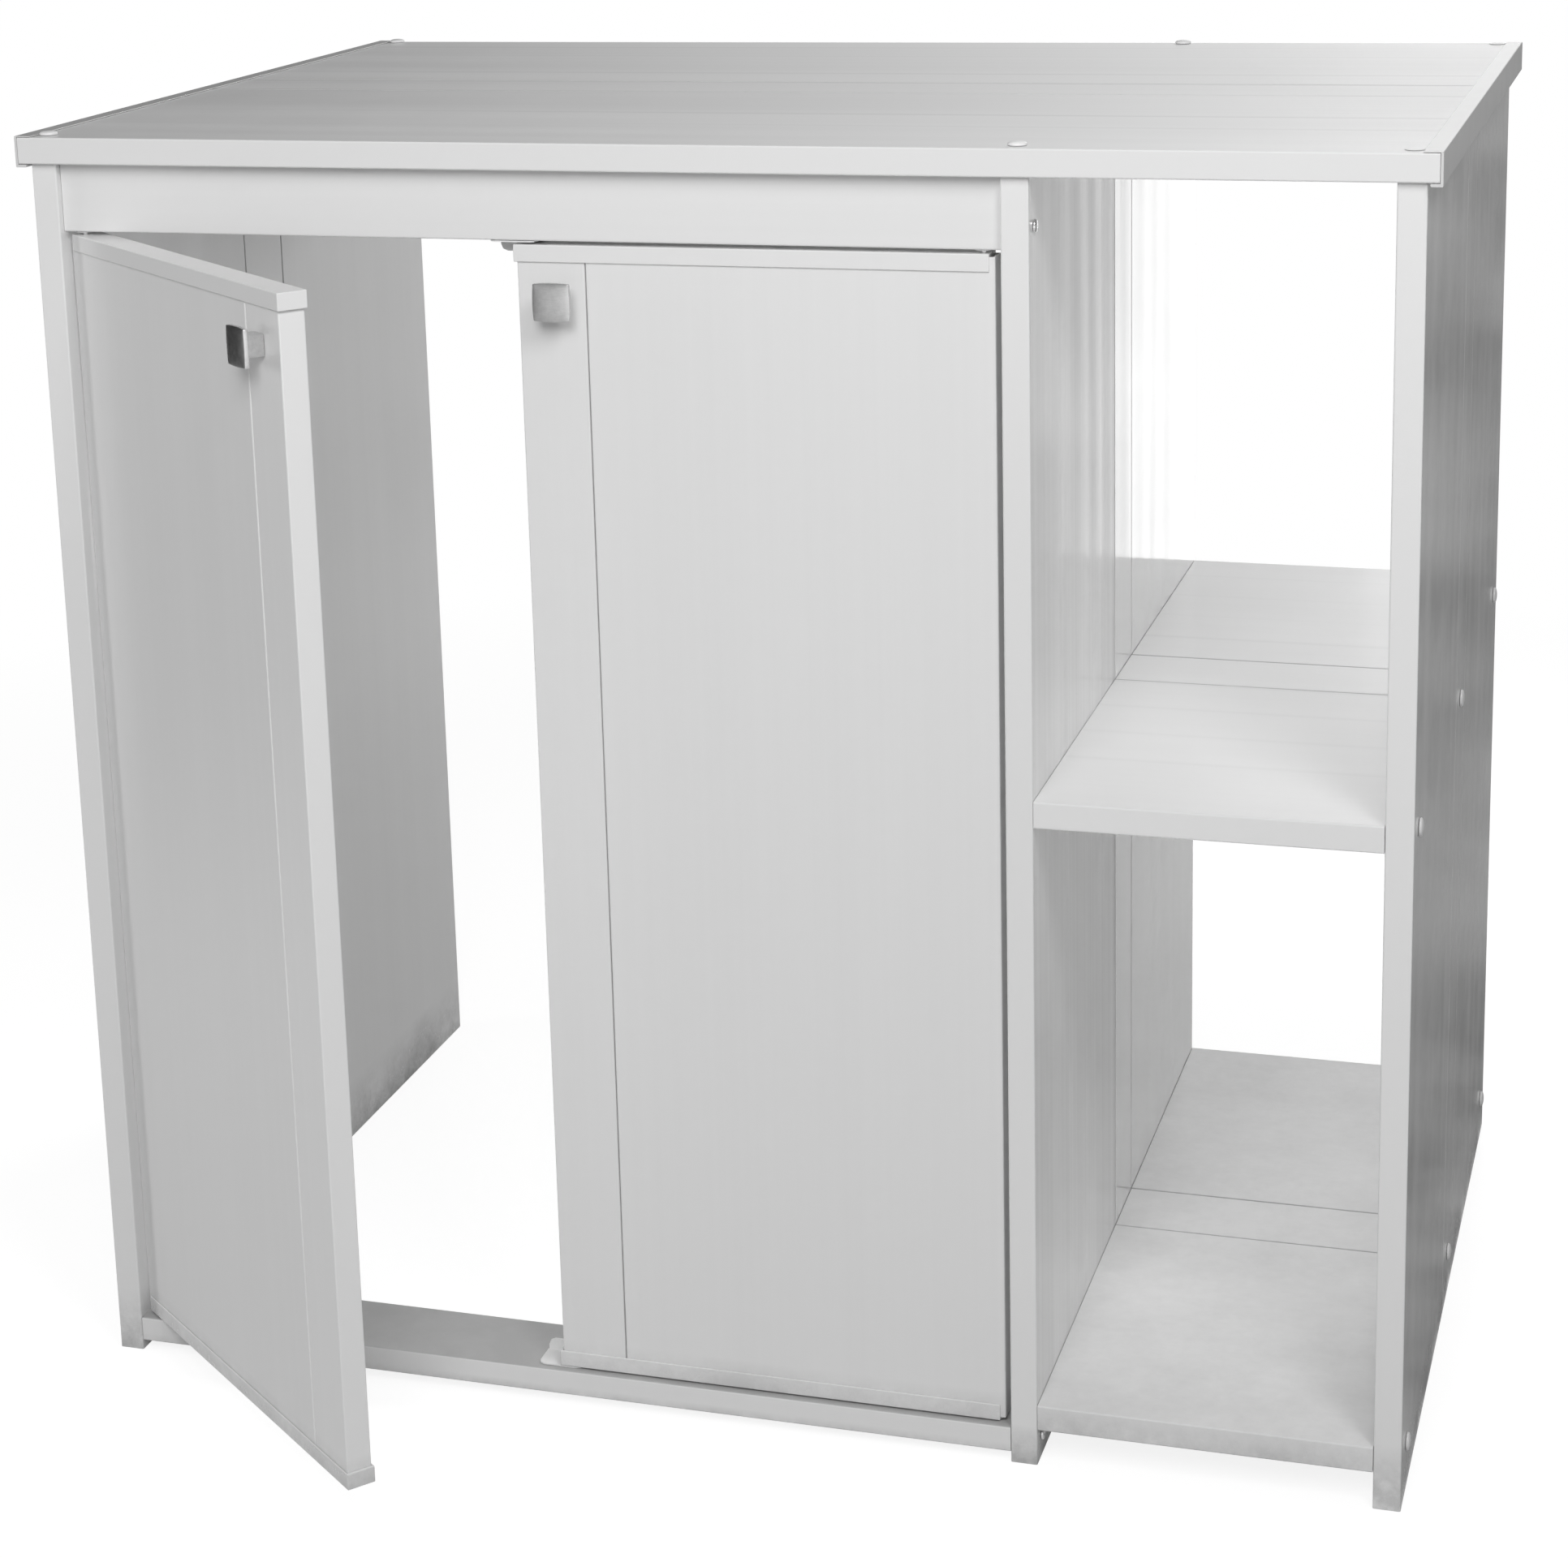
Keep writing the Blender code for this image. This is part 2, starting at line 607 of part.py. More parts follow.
def knob(name, pivot, hand, handle_plank):
    """A square plate on a square post, held by a screw from behind the door."""
    x = hand * (DOOR_WIDTH - KNOB_INSET - PIN_INSET)
    z = DOOR_TOP - KNOB_DROP
    front = -PIN_SETBACK - KNOB_PROJECTION
    post_end = -PIN_SETBACK - FIT_GAP
    plate = extrusion(name, knob_outline(), KNOB_PLATE)
    soften(plate, KNOB_EDGE_RADIUS)
    plate_place = (x, front + KNOB_PLATE / 2, z)
    set_piece(plate, pivot, plate_place, facing(RIGHT, UP), SATIN_METAL)

    post_start = front + KNOB_PLATE / 2
    post = block(name + "_post", (KNOB_POST, post_end - post_start, KNOB_POST))
    soften(post, KNOB_EDGE_RADIUS)
    set_piece(post, pivot, (x, (post_start + post_end) / 2, z), (0, 0, 0), None)
    combine(plate, post, "UNION")
    blind = KNOB_SCREW_BITE + FIT_GAP
    drill(plate, name + "_bore", SHANK_RADIUS + FIT_GAP, 2 * blind, Vector((x, post_end, z)), BACK)

    back_face = Vector((x, PLANK_THICKNESS - PIN_SETBACK, z))
    centre = back_face + FRONT * PLANK_THICKNESS / 2
    drill(handle_plank, name + "_hole", SCREW_HOLE_RADIUS, PLANK_THICKNESS, centre, BACK)
    head = head_profile(PAN_RADIUS, PAN_HEIGHT, PAN_RIM)
    length = FIT_GAP + PLANK_THICKNESS + FIT_GAP + KNOB_SCREW_BITE
    fastener(name + "_screw", head, length, pivot, back_face, BACK, BRIGHT_STEEL)


def pin(name, pivot, low, high):
    piece = cylinder(name, PIN_RADIUS, high - low, TURN_STEPS)
    set_piece(piece, pivot, (0, 0, (low + high) / 2), (0, 0, 0), BRIGHT_STEEL)


def door(name, pin_x, hand, swing):
    """A door of a wide and a narrow plank; hand is 1 where its free edge is to the right."""
    pivot = new_empty(name + "_pivot", ROOT, (pin_x, PIN_Y, 0))
    pivot.rotation_euler.z = -hand * swing
    length = DOOR_PLANK_TOP - DOOR_PLANK_BOTTOM
    middle = (DOOR_PLANK_TOP + DOOR_PLANK_BOTTOM) / 2
    rotation = facing(RIGHT * hand, BACK)
    pin_web = (PIN_INSET, PIN_SETBACK - PLANK_THICKNESS / 2, PIN_RADIUS + FIT_GAP, PIN_WEB_WIDTH)
    wide = plank(name + "_wide_plank", DOOR_WIDE_WIDTH, length, far="groove", webs=[pin_web])
    set_piece(wide, pivot, (-hand * PIN_INSET, DOOR_MIDDLE, middle), rotation, WHITE_PLANK)
    narrow = plank(name + "_narrow_plank", NARROW_PLANK_WIDTH, length, near="tongue")
    narrow_start = DOOR_WIDTH - NARROW_PLANK_WIDTH - PIN_INSET
    set_piece(narrow, pivot, (hand * narrow_start, DOOR_MIDDLE, middle), rotation, WHITE_PLANK)
    door_cap(name + "_top_cap", pivot, hand, DOOR_TOP, UP)
    door_cap(name + "_bottom_cap", pivot, hand, DOOR_BOTTOM, DOWN)
    knob(name + "_knob", pivot, hand, narrow)
    pin(name + "_upper_pin", pivot, DOOR_PLANK_TOP - PIN_GRIP, FASCIA_BOTTOM + PIN_REACH)
    pin(name + "_lower_pin", pivot, RAIL_TOP - PIN_REACH, DOOR_PLANK_BOTTOM + PIN_GRIP)


def carcass():
    """The fixed panels, the fascia and the rail, with the holes and screws that hold them."""
    left_side = upright_panel("left_side", PANEL_CENTRES["left"])
    divider = upright_panel("divider", PANEL_CENTRES["middle"])
    right_side = upright_panel("right_side", PANEL_CENTRES["right"])
    top = flat_panel("top", TOP_LEFT_END, TOP_RIGHT_END, 0, TOP_UNDERSIDE)
    end_cap("top_left_cap", 0, RIGHT)
    end_cap("top_right_cap", OVERALL_WIDTH, LEFT)

    screw_rows = {"front": BODY_FRONT + OUTER_WEB_INSET, "rear": BODY_BACK - OUTER_WEB_INSET}
    for row, y in screw_rows.items():
        for place, x in PANEL_CENTRES.items():
            seat = (x, y, TOP_UNDERSIDE + PLANK_THICKNESS)
            screw_through(f"top_{place}_{row}_screw", top[row], seat, UP)

    shelf_rows = {
        "front": BODY_FRONT + INNER_WEB_INSET,
        "joint": (BODY_FRONT + BODY_BACK) / 2,
        "rear": BODY_BACK - INNER_WEB_INSET,
    }
    shelf_left = DIVIDER_RIGHT + FIT_GAP
    shelf_right = RIGHT_INNER - FIT_GAP
    heights = {"middle_shelf": MIDDLE_SHELF_HEIGHT, "bottom_shelf": BOTTOM_SHELF_HEIGHT}
    for shelf, height in heights.items():
        flat_panel(shelf, shelf_left, shelf_right, BODY_FRONT, height)
        for row, y in shelf_rows.items():
            seat = (RIGHT_OUTER, y, height + PLANK_THICKNESS / 2)
            screw_through(f"{shelf}_{row}_screw", right_side[row], seat, RIGHT)

    bay_middle = (LEFT_INNER + DIVIDER_LEFT) / 2
    fascia_corner = (bay_middle, FASCIA_MIDDLE, FASCIA_BOTTOM)
    rail_corner = (bay_middle, RAIL_FRONT, RAIL_MIDDLE)
    fascia = front_member("fascia", NARROW_PLANK_WIDTH, fascia_corner, UP, FRONT)
    rail = front_member("bottom_rail", RAIL_WIDTH, rail_corner, BACK, UP)
    ends = {"fascia": FASCIA_BOTTOM + NARROW_WEB_INSET, "rail": RAIL_MIDDLE}
    depths = {"fascia": FASCIA_MIDDLE, "rail": RAIL_FRONT + NARROW_WEB_INSET}
    for member, z in ends.items():
        y = depths[member]
        left_seat = (LEFT_OUTER, y, z)
        right_seat = (DIVIDER_RIGHT, y, z)
        screw_through(f"{member}_left_screw", left_side["front"], left_seat, LEFT, capped=False)
        screw_through(f"{member}_right_screw", divider["front"], right_seat, RIGHT, capped=False)
    return fascia, rail


def door_fittings(fascia, rail):
    """The bushes and stops that the carcass holds for the doors."""
    for side, x in (("left", LEFT_PIN_X), ("right", RIGHT_PIN_X)):
        bush(f"{side}_upper_bush", fascia, (x, PIN_Y, FASCIA_BOTTOM), DOWN)
        bush(f"{side}_lower_bush", rail, (x, PIN_Y, RAIL_TOP), UP)
    door_stop("upper_door_stop", fascia, FASCIA_BOTTOM, DOWN)
    door_stop("lower_door_stop", rail, RAIL_TOP, UP)


def stand_on_origin():
    """Moves the root so that the box of all the parts stands on the origin at its middle."""
    bpy.context.view_layer.update()
    graph = bpy.context.evaluated_depsgraph_get()
    points = []
    for piece in PARTS.objects:
        if piece.type != "MESH":
            continue
        evaluated = piece.evaluated_get(graph)
        points += [evaluated.matrix_world @ vertex.co for vertex in evaluated.data.vertices]
    for axis in range(2):
        low = min(point[axis] for point in points)
        high = max(point[axis] for point in points)
        ROOT.location[axis] = -(low + high) / 2


clear_scene()
PARTS = new_collection("washing_machine_cabinet")
CUTTERS = new_collection("cutters", helpers=True)
ROOT = new_empty("cabinet_root", None, (0, 0, 0))
front_members = carcass()
door_fittings(*front_members)
door("left_door", LEFT_PIN_X, 1, LEFT_DOOR_SWING)
door("right_door", RIGHT_PIN_X, -1, 0)
stand_on_origin()
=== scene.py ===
# %% [markdown]
# # A washing machine cabinet of hollow plastic planks
# The cabinet is a flat-pack of extruded white planks, plastic channels and screws. Its solids
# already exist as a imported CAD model, so this lesson starts from that frame and dresses it:
# finishes for the planks, finer shapes for the small fittings, and a plain studio round it.

import json
import math

import bmesh
import bpy
from mathutils import Matrix, Vector


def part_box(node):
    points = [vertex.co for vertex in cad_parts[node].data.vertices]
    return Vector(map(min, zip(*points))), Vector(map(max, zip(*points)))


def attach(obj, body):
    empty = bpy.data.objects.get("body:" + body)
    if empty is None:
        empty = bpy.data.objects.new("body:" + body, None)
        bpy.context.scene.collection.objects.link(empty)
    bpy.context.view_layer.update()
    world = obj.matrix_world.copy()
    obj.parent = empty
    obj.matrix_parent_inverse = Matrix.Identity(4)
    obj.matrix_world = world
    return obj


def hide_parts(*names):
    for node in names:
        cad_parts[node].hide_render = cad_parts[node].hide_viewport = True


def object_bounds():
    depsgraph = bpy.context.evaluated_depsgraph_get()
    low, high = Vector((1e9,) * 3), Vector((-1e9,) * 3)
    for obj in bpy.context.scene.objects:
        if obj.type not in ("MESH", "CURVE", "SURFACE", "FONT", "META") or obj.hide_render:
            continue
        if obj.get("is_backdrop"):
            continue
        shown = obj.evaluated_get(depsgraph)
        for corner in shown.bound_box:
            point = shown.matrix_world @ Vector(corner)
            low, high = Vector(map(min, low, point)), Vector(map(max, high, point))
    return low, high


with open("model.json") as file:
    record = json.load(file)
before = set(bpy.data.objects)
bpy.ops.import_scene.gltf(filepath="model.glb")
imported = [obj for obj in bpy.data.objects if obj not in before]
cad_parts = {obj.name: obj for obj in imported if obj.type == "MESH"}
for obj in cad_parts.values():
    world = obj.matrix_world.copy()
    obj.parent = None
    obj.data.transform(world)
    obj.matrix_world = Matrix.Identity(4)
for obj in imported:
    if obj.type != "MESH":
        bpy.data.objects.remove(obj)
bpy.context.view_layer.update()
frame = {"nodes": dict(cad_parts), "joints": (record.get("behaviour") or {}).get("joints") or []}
nodes = frame["nodes"]
hinges = {joint["child"]: joint for joint in frame["joints"]}

# %% [markdown]
# ## The camera
# The photograph looks down a little from the right of the middle. It is a crop of a larger
# picture, so its centre of perspective is not in the middle of the frame. A lens shift gives
# that without tilting the camera further, and keeps the uprights converging as they should.
# The camera's turn is three plain rotations: a roll, a tilt from straight down, and a pan.

# %% Place the camera
CAMERA_PLACE = Vector((0.68743, -2.34582, 1.22222))
CAMERA_PAN = math.radians(17.7486)
CAMERA_TILT = math.radians(90 - 13.4042)
CAMERA_ROLL = math.radians(-1.7062)
CAMERA_LENS = 76.7737
CAMERA_SHIFT = (0.04724, -0.17598)

camera = bpy.data.objects.new("camera", bpy.data.cameras.new("camera"))
camera.data.sensor_fit = "HORIZONTAL"
camera.data.lens = CAMERA_LENS
camera.data.shift_x, camera.data.shift_y = CAMERA_SHIFT
camera.matrix_world = (
    Matrix.Translation(CAMERA_PLACE)
    @ Matrix.Rotation(CAMERA_PAN, 4, "Z")
    @ Matrix.Rotation(CAMERA_TILT, 4, "X")
    @ Matrix.Rotation(CAMERA_ROLL, 4, "Z")
)
bpy.context.scene.collection.objects.link(camera)
bpy.context.scene.camera = camera

# %% [markdown]
# ## Node trees in a few words
# Every finish here is a small node tree. Wiring one by hand takes many lines, so a short
# helper makes a node, sets its inputs and links whatever is a socket rather than a number.
# The node stays a normal Blender node, and can be opened in the shader editor afterwards.

# %% Helpers for nodes
def feed(tree, node, values):
    """Fills a node's inputs; each value is a number, a colour or a socket to link from."""
    for socket, value in values.items():
        if isinstance(value, bpy.types.NodeSocket):
            tree.links.new(value, node.inputs[socket])
        else:
            node.inputs[socket].default_value = value


def add_node(tree, kind, values=(), **settings):
    node = tree.nodes.new("ShaderNode" + kind)
    for name, setting in settings.items():
        setattr(node, name, setting)
    feed(tree, node, dict(values))
    return node


def add_math(tree, operation, first, second=0.0, clamp=False):
    values = {0: first, 1: second}
    return add_node(tree, "Math", values, operation=operation, use_clamp=clamp).outputs[0]


def times(tree, first, second):
    return add_math(tree, "MULTIPLY", first, second)


def plus(tree, first, second):
    return add_math(tree, "ADD", first, second)


def noise(tree, place, scale, detail, roughness):
    """The scale counts the noise's cells in a metre."""
    values = {"Vector": place, "Scale": scale, "Detail": detail, "Roughness": roughness}
    return add_node(tree, "TexNoise", values).outputs["Fac"]


def rescaled(tree, value, low, high, new_low=0.0, new_high=1.0):
    """Map Range with clamping: low to high becomes new_low to new_high."""
    values = {"Value": value, 1: low, 2: high, 3: new_low, 4: new_high}
    return add_node(tree, "MapRange", values).outputs["Result"]


def blended(tree, factor, first, second):
    """A colour between two others, by a factor from 0 to 1."""
    values = {0: factor, 6: first, 7: second}
    return add_node(tree, "Mix", values, data_type="RGBA").outputs[2]


def grey(tree, level):
    return add_node(tree, "CombineColor", {0: level, 1: level, 2: level}).outputs[0]


def new_group(name, vector, values, outputs):
    """An empty shader node group: its tree, its input sockets and its output node."""
    tree = bpy.data.node_groups.new(name, "ShaderNodeTree")
    tree.interface.new_socket(vector, in_out="INPUT", socket_type="NodeSocketVector")
    for label, start in values.items():
        socket = tree.interface.new_socket(label, in_out="INPUT", socket_type="NodeSocketFloat")
        socket.default_value = start
    for label in outputs:
        tree.interface.new_socket(label, in_out="OUTPUT", socket_type="NodeSocketFloat")
    return tree, tree.nodes.new("NodeGroupInput").outputs, tree.nodes.new("NodeGroupOutput")


def group_node(tree, group, values):
    return add_node(tree, "Group", values, node_tree=group).outputs


# %% [markdown]
# ## Extrusion marks
# A hollow plank is pushed through a die, and everything that happens there draws a line along
# its whole length: fine die lines, broader streaks, and shallow waves where the thin ribs
# inside pull the skin in as it cools. Noise that is stretched along the plank gives all three.
# The group reads a vector whose X runs along the plank and whose Y runs across it, so one
# group serves the top, the shelves, the uprights and the doors. The rib waves are a sine of
# the place across, with a slow noise on it so that no two ribs look the same. Over some ribs
# the skin sinks into a narrow line, which shows on the top of the cabinet. All of it stays
# faint: strong streaks would turn the plastic into wood.

# %% Build the extrusion marks group
# Each noise has so many cells in a metre along and across the plank, a detail and an offset.
BROAD_BANDS = (0.5, 22.0, 1.0, 0.0)
FINE_STREAKS = (0.35, 120.0, 2.0, 5.2)
DIE_LINES = (0.9, 900.0, 2.0, 9.7)
SLOW_DRIFT = (1.6, 7.0, 1.0, 14.1)
TONE_SHARES = (0.5, 0.35, 0.15)
RIB_PITCH = 0.064
RIB_SWAY = 5.0
WAVE_SHARE = 0.6
SINK_SHARPNESS = 90.0
SINK_PLACES = (0.45, 0.6)


def extrusion_marks():
    tree, given, output = new_group(
        "extrusion marks",
        "Vector",
        {"Wave": 1.0, "Streaks": 0.1, "Sinks": 0.0, "Seed": 0.0},
        ("Tone", "Gloss", "Height", "Sinks"),
    )
    split = add_node(tree, "SeparateXYZ", {0: given["Vector"]}).outputs

    def stretched(along, across, detail, offset):
        x = times(tree, split["X"], along)
        y = times(tree, split["Y"], across)
        z = plus(tree, given["Seed"], offset)
        place = add_node(tree, "CombineXYZ", {"X": x, "Y": y, "Z": z}).outputs[0]
        return noise(tree, place, 1.0, detail, 0.55)

    broad = stretched(*BROAD_BANDS)
    streaks = stretched(*FINE_STREAKS)
    die_lines = stretched(*DIE_LINES)
    drift = stretched(*SLOW_DRIFT)
    phase = times(tree, split["Y"], 2 * math.pi / RIB_PITCH)
    phase = plus(tree, phase, times(tree, drift, RIB_SWAY))
    ribs = add_math(tree, "SINE", phase)
    line = times(tree, split["Y"], math.pi / RIB_PITCH)
    line = add_math(tree, "ABSOLUTE", add_math(tree, "COSINE", line))
    line = add_math(tree, "POWER", line, SINK_SHARPNESS)
    sinks = times(tree, line, rescaled(tree, broad, *SINK_PLACES))
    sinks = times(tree, sinks, given["Sinks"])

    tone = 0.0
    for lines, share in zip((broad, streaks, die_lines), TONE_SHARES):
        tone = plus(tree, times(tree, lines, share), tone)
    gloss = times(tree, plus(tree, broad, drift), 0.5)
    waves = times(tree, plus(tree, ribs, broad), given["Wave"])
    fine = times(tree, streaks, given["Streaks"])
    height = plus(tree, times(tree, waves, WAVE_SHARE), fine)
    height = add_math(tree, "SUBTRACT", height, sinks)
    feed(tree, output, {"Tone": tone, "Gloss": gloss, "Height": height, "Sinks": sinks})
    return tree


EXTRUSION_MARKS = extrusion_marks()
print(EXTRUSION_MARKS.name, "has", len(EXTRUSION_MARKS.nodes), "nodes")

# %% [markdown]
# ## Painted shade in the joints
# Where two planks meet, their rounded edges leave a fine groove, and shade falls in it. That
# is why the joints show as dark pencil lines on the pale panels, and the finish paints that shade
# into the colour. A panel has two joints and a door has one. The group measures how far a point
# lies from each line, and marks only the last millimetre, unless it is told to reach further.
# A noise along the groove keeps the painted line from being evenly dark.

# %% Build the group for the painted joint lines
JOINT_REACH = 0.0011
LINE_FADE = (0.4, 1.0, 1.0, 0.0)
JOINT_PATCHES = (21.0, 4.0, 0.6)
PATCH_LEVELS = (0.3, 0.6, 0.6, 1.0)


def painted_joint_lines():
    tree, given, output = new_group(
        "painted joint lines",
        "Vector",
        {"First line": 0.0, "Second line": 0.0, "Reach": JOINT_REACH},
        ("Mask",),
    )
    across = add_node(tree, "SeparateXYZ", {0: given["Vector"]}).outputs["Y"]
    near = []
    for line in ("First line", "Second line"):
        away = add_math(tree, "ABSOLUTE", add_math(tree, "SUBTRACT", across, given[line]))
        away = add_math(tree, "DIVIDE", away, given["Reach"])
        near.append(rescaled(tree, away, *LINE_FADE))
    patches = noise(tree, given["Vector"], *JOINT_PATCHES)
    # The mask says where the finish paints shade, or a painted highlight, along the joints.
    mask = add_math(tree, "MAXIMUM", *near)
    mask = times(tree, mask, rescaled(tree, patches, *PATCH_LEVELS))
    feed(tree, output, {"Mask": mask})
    return tree


PAINTED_JOINT_LINES = painted_joint_lines()
print(PAINTED_JOINT_LINES.name, "has", len(PAINTED_JOINT_LINES.nodes), "nodes")

# %% [markdown]
# ## Floor grime, painted shade and smudges
# A cabinet on a laundry floor gets a grey hem of splashed dirt, and the same grey also serves as
# painted shade that darkens the lowest parts. The hem fades with height above the floor, and a
# noise breaks its edge. Faces above a given height get the grey in patches, as a painted shadow.
# The same noise, taken alone, gives the smudges: soft patches with a duller skin, which only show
# where the plastic mirrors something.

# %% Build the group for wear and painted shade
BLOTCHES = (14.0, 5.0, 0.62)
SPECKLE = (90.0, 4.0, 0.7)
HEM_EDGE = (0.55, 0.95)
SMUDGE_EDGE = (0.4, 0.7)
SHADOW_PATCHES = (0.2, 0.6, 0.8, 1.0)
SHADOW_AMOUNT = 0.75
SHADOW_EDGE = 0.0005
SPECKLE_SHARE = 0.5


def wear_and_shade_marks():
    tree, given, output = new_group(
        "laundry wear and painted shade",
        "Vector",
        {"Hem height": 0.05, "Shadow height": 9.0, "Smudging": 0.5},
        ("Grime and shade", "Smudges"),
    )
    height = add_node(tree, "SeparateXYZ", {0: given["Vector"]}).outputs["Z"]
    blotches = noise(tree, given["Vector"], *BLOTCHES)
    speckle = noise(tree, given["Vector"], *SPECKLE)
    # The hem is grime near the floor, and also painted shade on the lowest parts.
    relative = add_math(tree, "DIVIDE", height, given["Hem height"])
    hem = rescaled(tree, relative, 0.0, 1.0, 1.0, 0.0)
    broken = plus(tree, blotches, times(tree, speckle, SPECKLE_SHARE))
    broken = rescaled(tree, broken, *HEM_EDGE)
    # Painted shadow: faces above the given height get the grey in patches.
    above = add_math(tree, "SUBTRACT", height, given["Shadow height"])
    painted_shadow = times(tree, rescaled(tree, above, -SHADOW_EDGE, 0.0), SHADOW_AMOUNT)
    painted_shadow = times(tree, painted_shadow, rescaled(tree, blotches, *SHADOW_PATCHES))
    grime_and_shade = add_math(tree, "MAXIMUM", times(tree, hem, broken), painted_shadow)
    smudges = times(tree, rescaled(tree, blotches, *SMUDGE_EDGE), given["Smudging"])
    feed(tree, output, {"Grime and shade": grime_and_shade, "Smudges": smudges})
    return tree


WEAR_AND_SHADE = wear_and_shade_marks()
print(WEAR_AND_SHADE.name, "has", len(WEAR_AND_SHADE.nodes), "nodes")

# %% [markdown]
# ## The plank finish
# The planks are white plastic with a satin skin. Seen at a flat angle such a skin is nearly a
# mirror, which is why the sides of the shelf bay look streaked in the photograph, so the
# waves in the bump matter more than the colour. The white moves by a few hundredths, and by a
# tenth on the divider's front plank, whose streaks are the clearest; there the colour streaks are
# painted reflection. Along the sink lines the colour holds a little painted shade, and one grey
# serves both the grime and the painted shade. Each panel points its own way: a Mapping node
# turns the object's coordinates until X runs along its planks. The left door stands open, so
# its pattern is turned by the same angle.

# %% Build the plank finish
PLANK_WHITE = 0.80
GRIME_AND_SHADE_GREY = (0.30, 0.30, 0.30, 1)
LIT_EDGE = (0.97, 0.97, 0.97, 1)
NO_LINE = 9.0
WHITE_LIFT = 0.006
TONE_SPAN = (0.38, 0.62)
NOISE_SPAN = (0.35, 0.65)
SINK_SHADE = 0.85
SMUDGE_ROUGHNESS = 0.06
GRIME_AND_SHADE_ROUGHNESS = 0.3
COAT_ROUGHNESS = 0.06
PLASTIC_IOR = 1.5
BUMP_DISTANCE = 0.0001


def shaded(tree, values):
    """A Principled shader with its output; constants are set straight on its sockets."""
    shader = add_node(tree, "BsdfPrincipled", values)
    add_node(tree, "OutputMaterial", {"Surface": shader.outputs[0]})


def empty_material(name):
    material = bpy.data.materials.new(name)
    material.use_nodes = True
    material.node_tree.nodes.clear()
    return material, material.node_tree


def plank_finish(
    name,
    turn,
    gloss,
    wave,
    seed,
    lines=(NO_LINE, NO_LINE),
    streaks=0.08,
    sinks=0.0,
    white=PLANK_WHITE,
    streaking=0.008,
    hem=0.05,
    painted_shadow=NO_LINE,
    smudging=0.4,
    joint=0.7,
    joint_colour=GRIME_AND_SHADE_GREY,
    reach=JOINT_REACH,
    coat=0.0,
):
    """Satin plank plastic; gloss is the lowest and highest roughness over the face."""
    material, tree = empty_material(name)
    place = add_node(tree, "TexCoord").outputs["Object"]
    along = add_node(tree, "Mapping", {"Vector": place, "Rotation": turn}).outputs[0]
    values = {"Vector": along, "Wave": wave, "Streaks": streaks, "Sinks": sinks, "Seed": seed}
    marks = group_node(tree, EXTRUSION_MARKS, values)
    values = {"Vector": place, "Hem height": hem, "Shadow height": painted_shadow, "Smudging": smudging}
    wear_and_shade = group_node(tree, WEAR_AND_SHADE, values)
    values = {"Vector": along, "First line": lines[0], "Second line": lines[1], "Reach": reach}
    # The joint colour is painted shade, or a painted highlight where it is light.
    groove = times(tree, group_node(tree, PAINTED_JOINT_LINES, values)["Mask"], joint)
    # Grime, painted shade and the joint lines are also rougher.
    grime_and_shade_mask = add_math(tree, "MAXIMUM", wear_and_shade["Grime and shade"], groove)

    tone = rescaled(tree, marks["Tone"], *TONE_SPAN, white - streaking, white + WHITE_LIFT)
    # Painted shade: the colour darkens along the sink lines.
    tone = times(tree, tone, rescaled(tree, marks["Sinks"], 0, 1, 1, SINK_SHADE))
    # The grey holds grime and painted shade; then the painted joint lines go on top.
    colour = blended(tree, wear_and_shade["Grime and shade"], grey(tree, tone), GRIME_AND_SHADE_GREY)
    colour = blended(tree, groove, colour, joint_colour)
    rough = rescaled(tree, marks["Gloss"], *NOISE_SPAN, *gloss)
    rough = plus(tree, rough, times(tree, wear_and_shade["Smudges"], SMUDGE_ROUGHNESS))
    rough = add_math(tree, "ADD", rough, times(tree, grime_and_shade_mask, GRIME_AND_SHADE_ROUGHNESS), clamp=True)
    values = {"Height": marks["Height"], "Strength": 1.0, "Distance": BUMP_DISTANCE}
    bump = add_node(tree, "Bump", values)
    shaded(
        tree,
        {
            "Base Color": colour,
            "Roughness": rough,
            "Normal": bump.outputs[0],
            "IOR": PLASTIC_IOR,
            "Coat Weight": coat,
            "Coat Roughness": COAT_ROUGHNESS,
        },
    )
    return material


# %% [markdown]
# ## Dress the planks
# Three turns are enough for the fixed panels: none for planks that lie along X, a quarter
# turn about X for the fascia, which stands on edge, and one about Y for upright planks, whose
# across direction is the cabinet's depth. The doors are upright too, but their across direction
# runs along the door, so they need another turn, and the left one follows its swing. The
# swing comes from the joint's record, so it stays true. The joint lines hold painted shade, but
# the left door's is a painted highlight instead: at that angle the rounded plank edge catches
# the light.

# %% Assign the plank finishes
QUARTER = math.pi / 2
LYING = (0, 0, 0)
ON_EDGE = (-QUARTER, 0, 0)
UPRIGHT_SIDE = (0, QUARTER, 0)
NARROW_LIT_WHITE = 0.83
SHADOW_DEPTH = 0.0002
LEFT_SWING = math.radians(-hinges["left_door"]["range_deg"][0])
DOOR_TURN = Matrix(((0, 0, 1), (1, 0, 0), (0, 1, 0)))
SWUNG_BACK = Matrix.Rotation(LEFT_SWING, 3, "Z")
RIGHT_DOOR = DOOR_TURN.to_euler()
LEFT_DOOR = (DOOR_TURN @ SWUNG_BACK).to_euler()


def joint_lines(panel):
    """How far across a panel its two joints lie, which is along Y."""
    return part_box(panel + "_front_plank")[1].y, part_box(panel + "_rear_plank")[0].y


def pin_place(door):
    return Vector(hinges[door]["pos_m"][:2] + [0])


DOOR_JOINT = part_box("right_door_wide_plank")[0].x
LEFT_JOINT = (SWUNG_BACK @ pin_place("left_door")).x + pin_place("right_door").x - DOOR_JOINT
on_top, on_upright, on_shelf = map(joint_lines, ("top", "divider", "middle_shelf"))

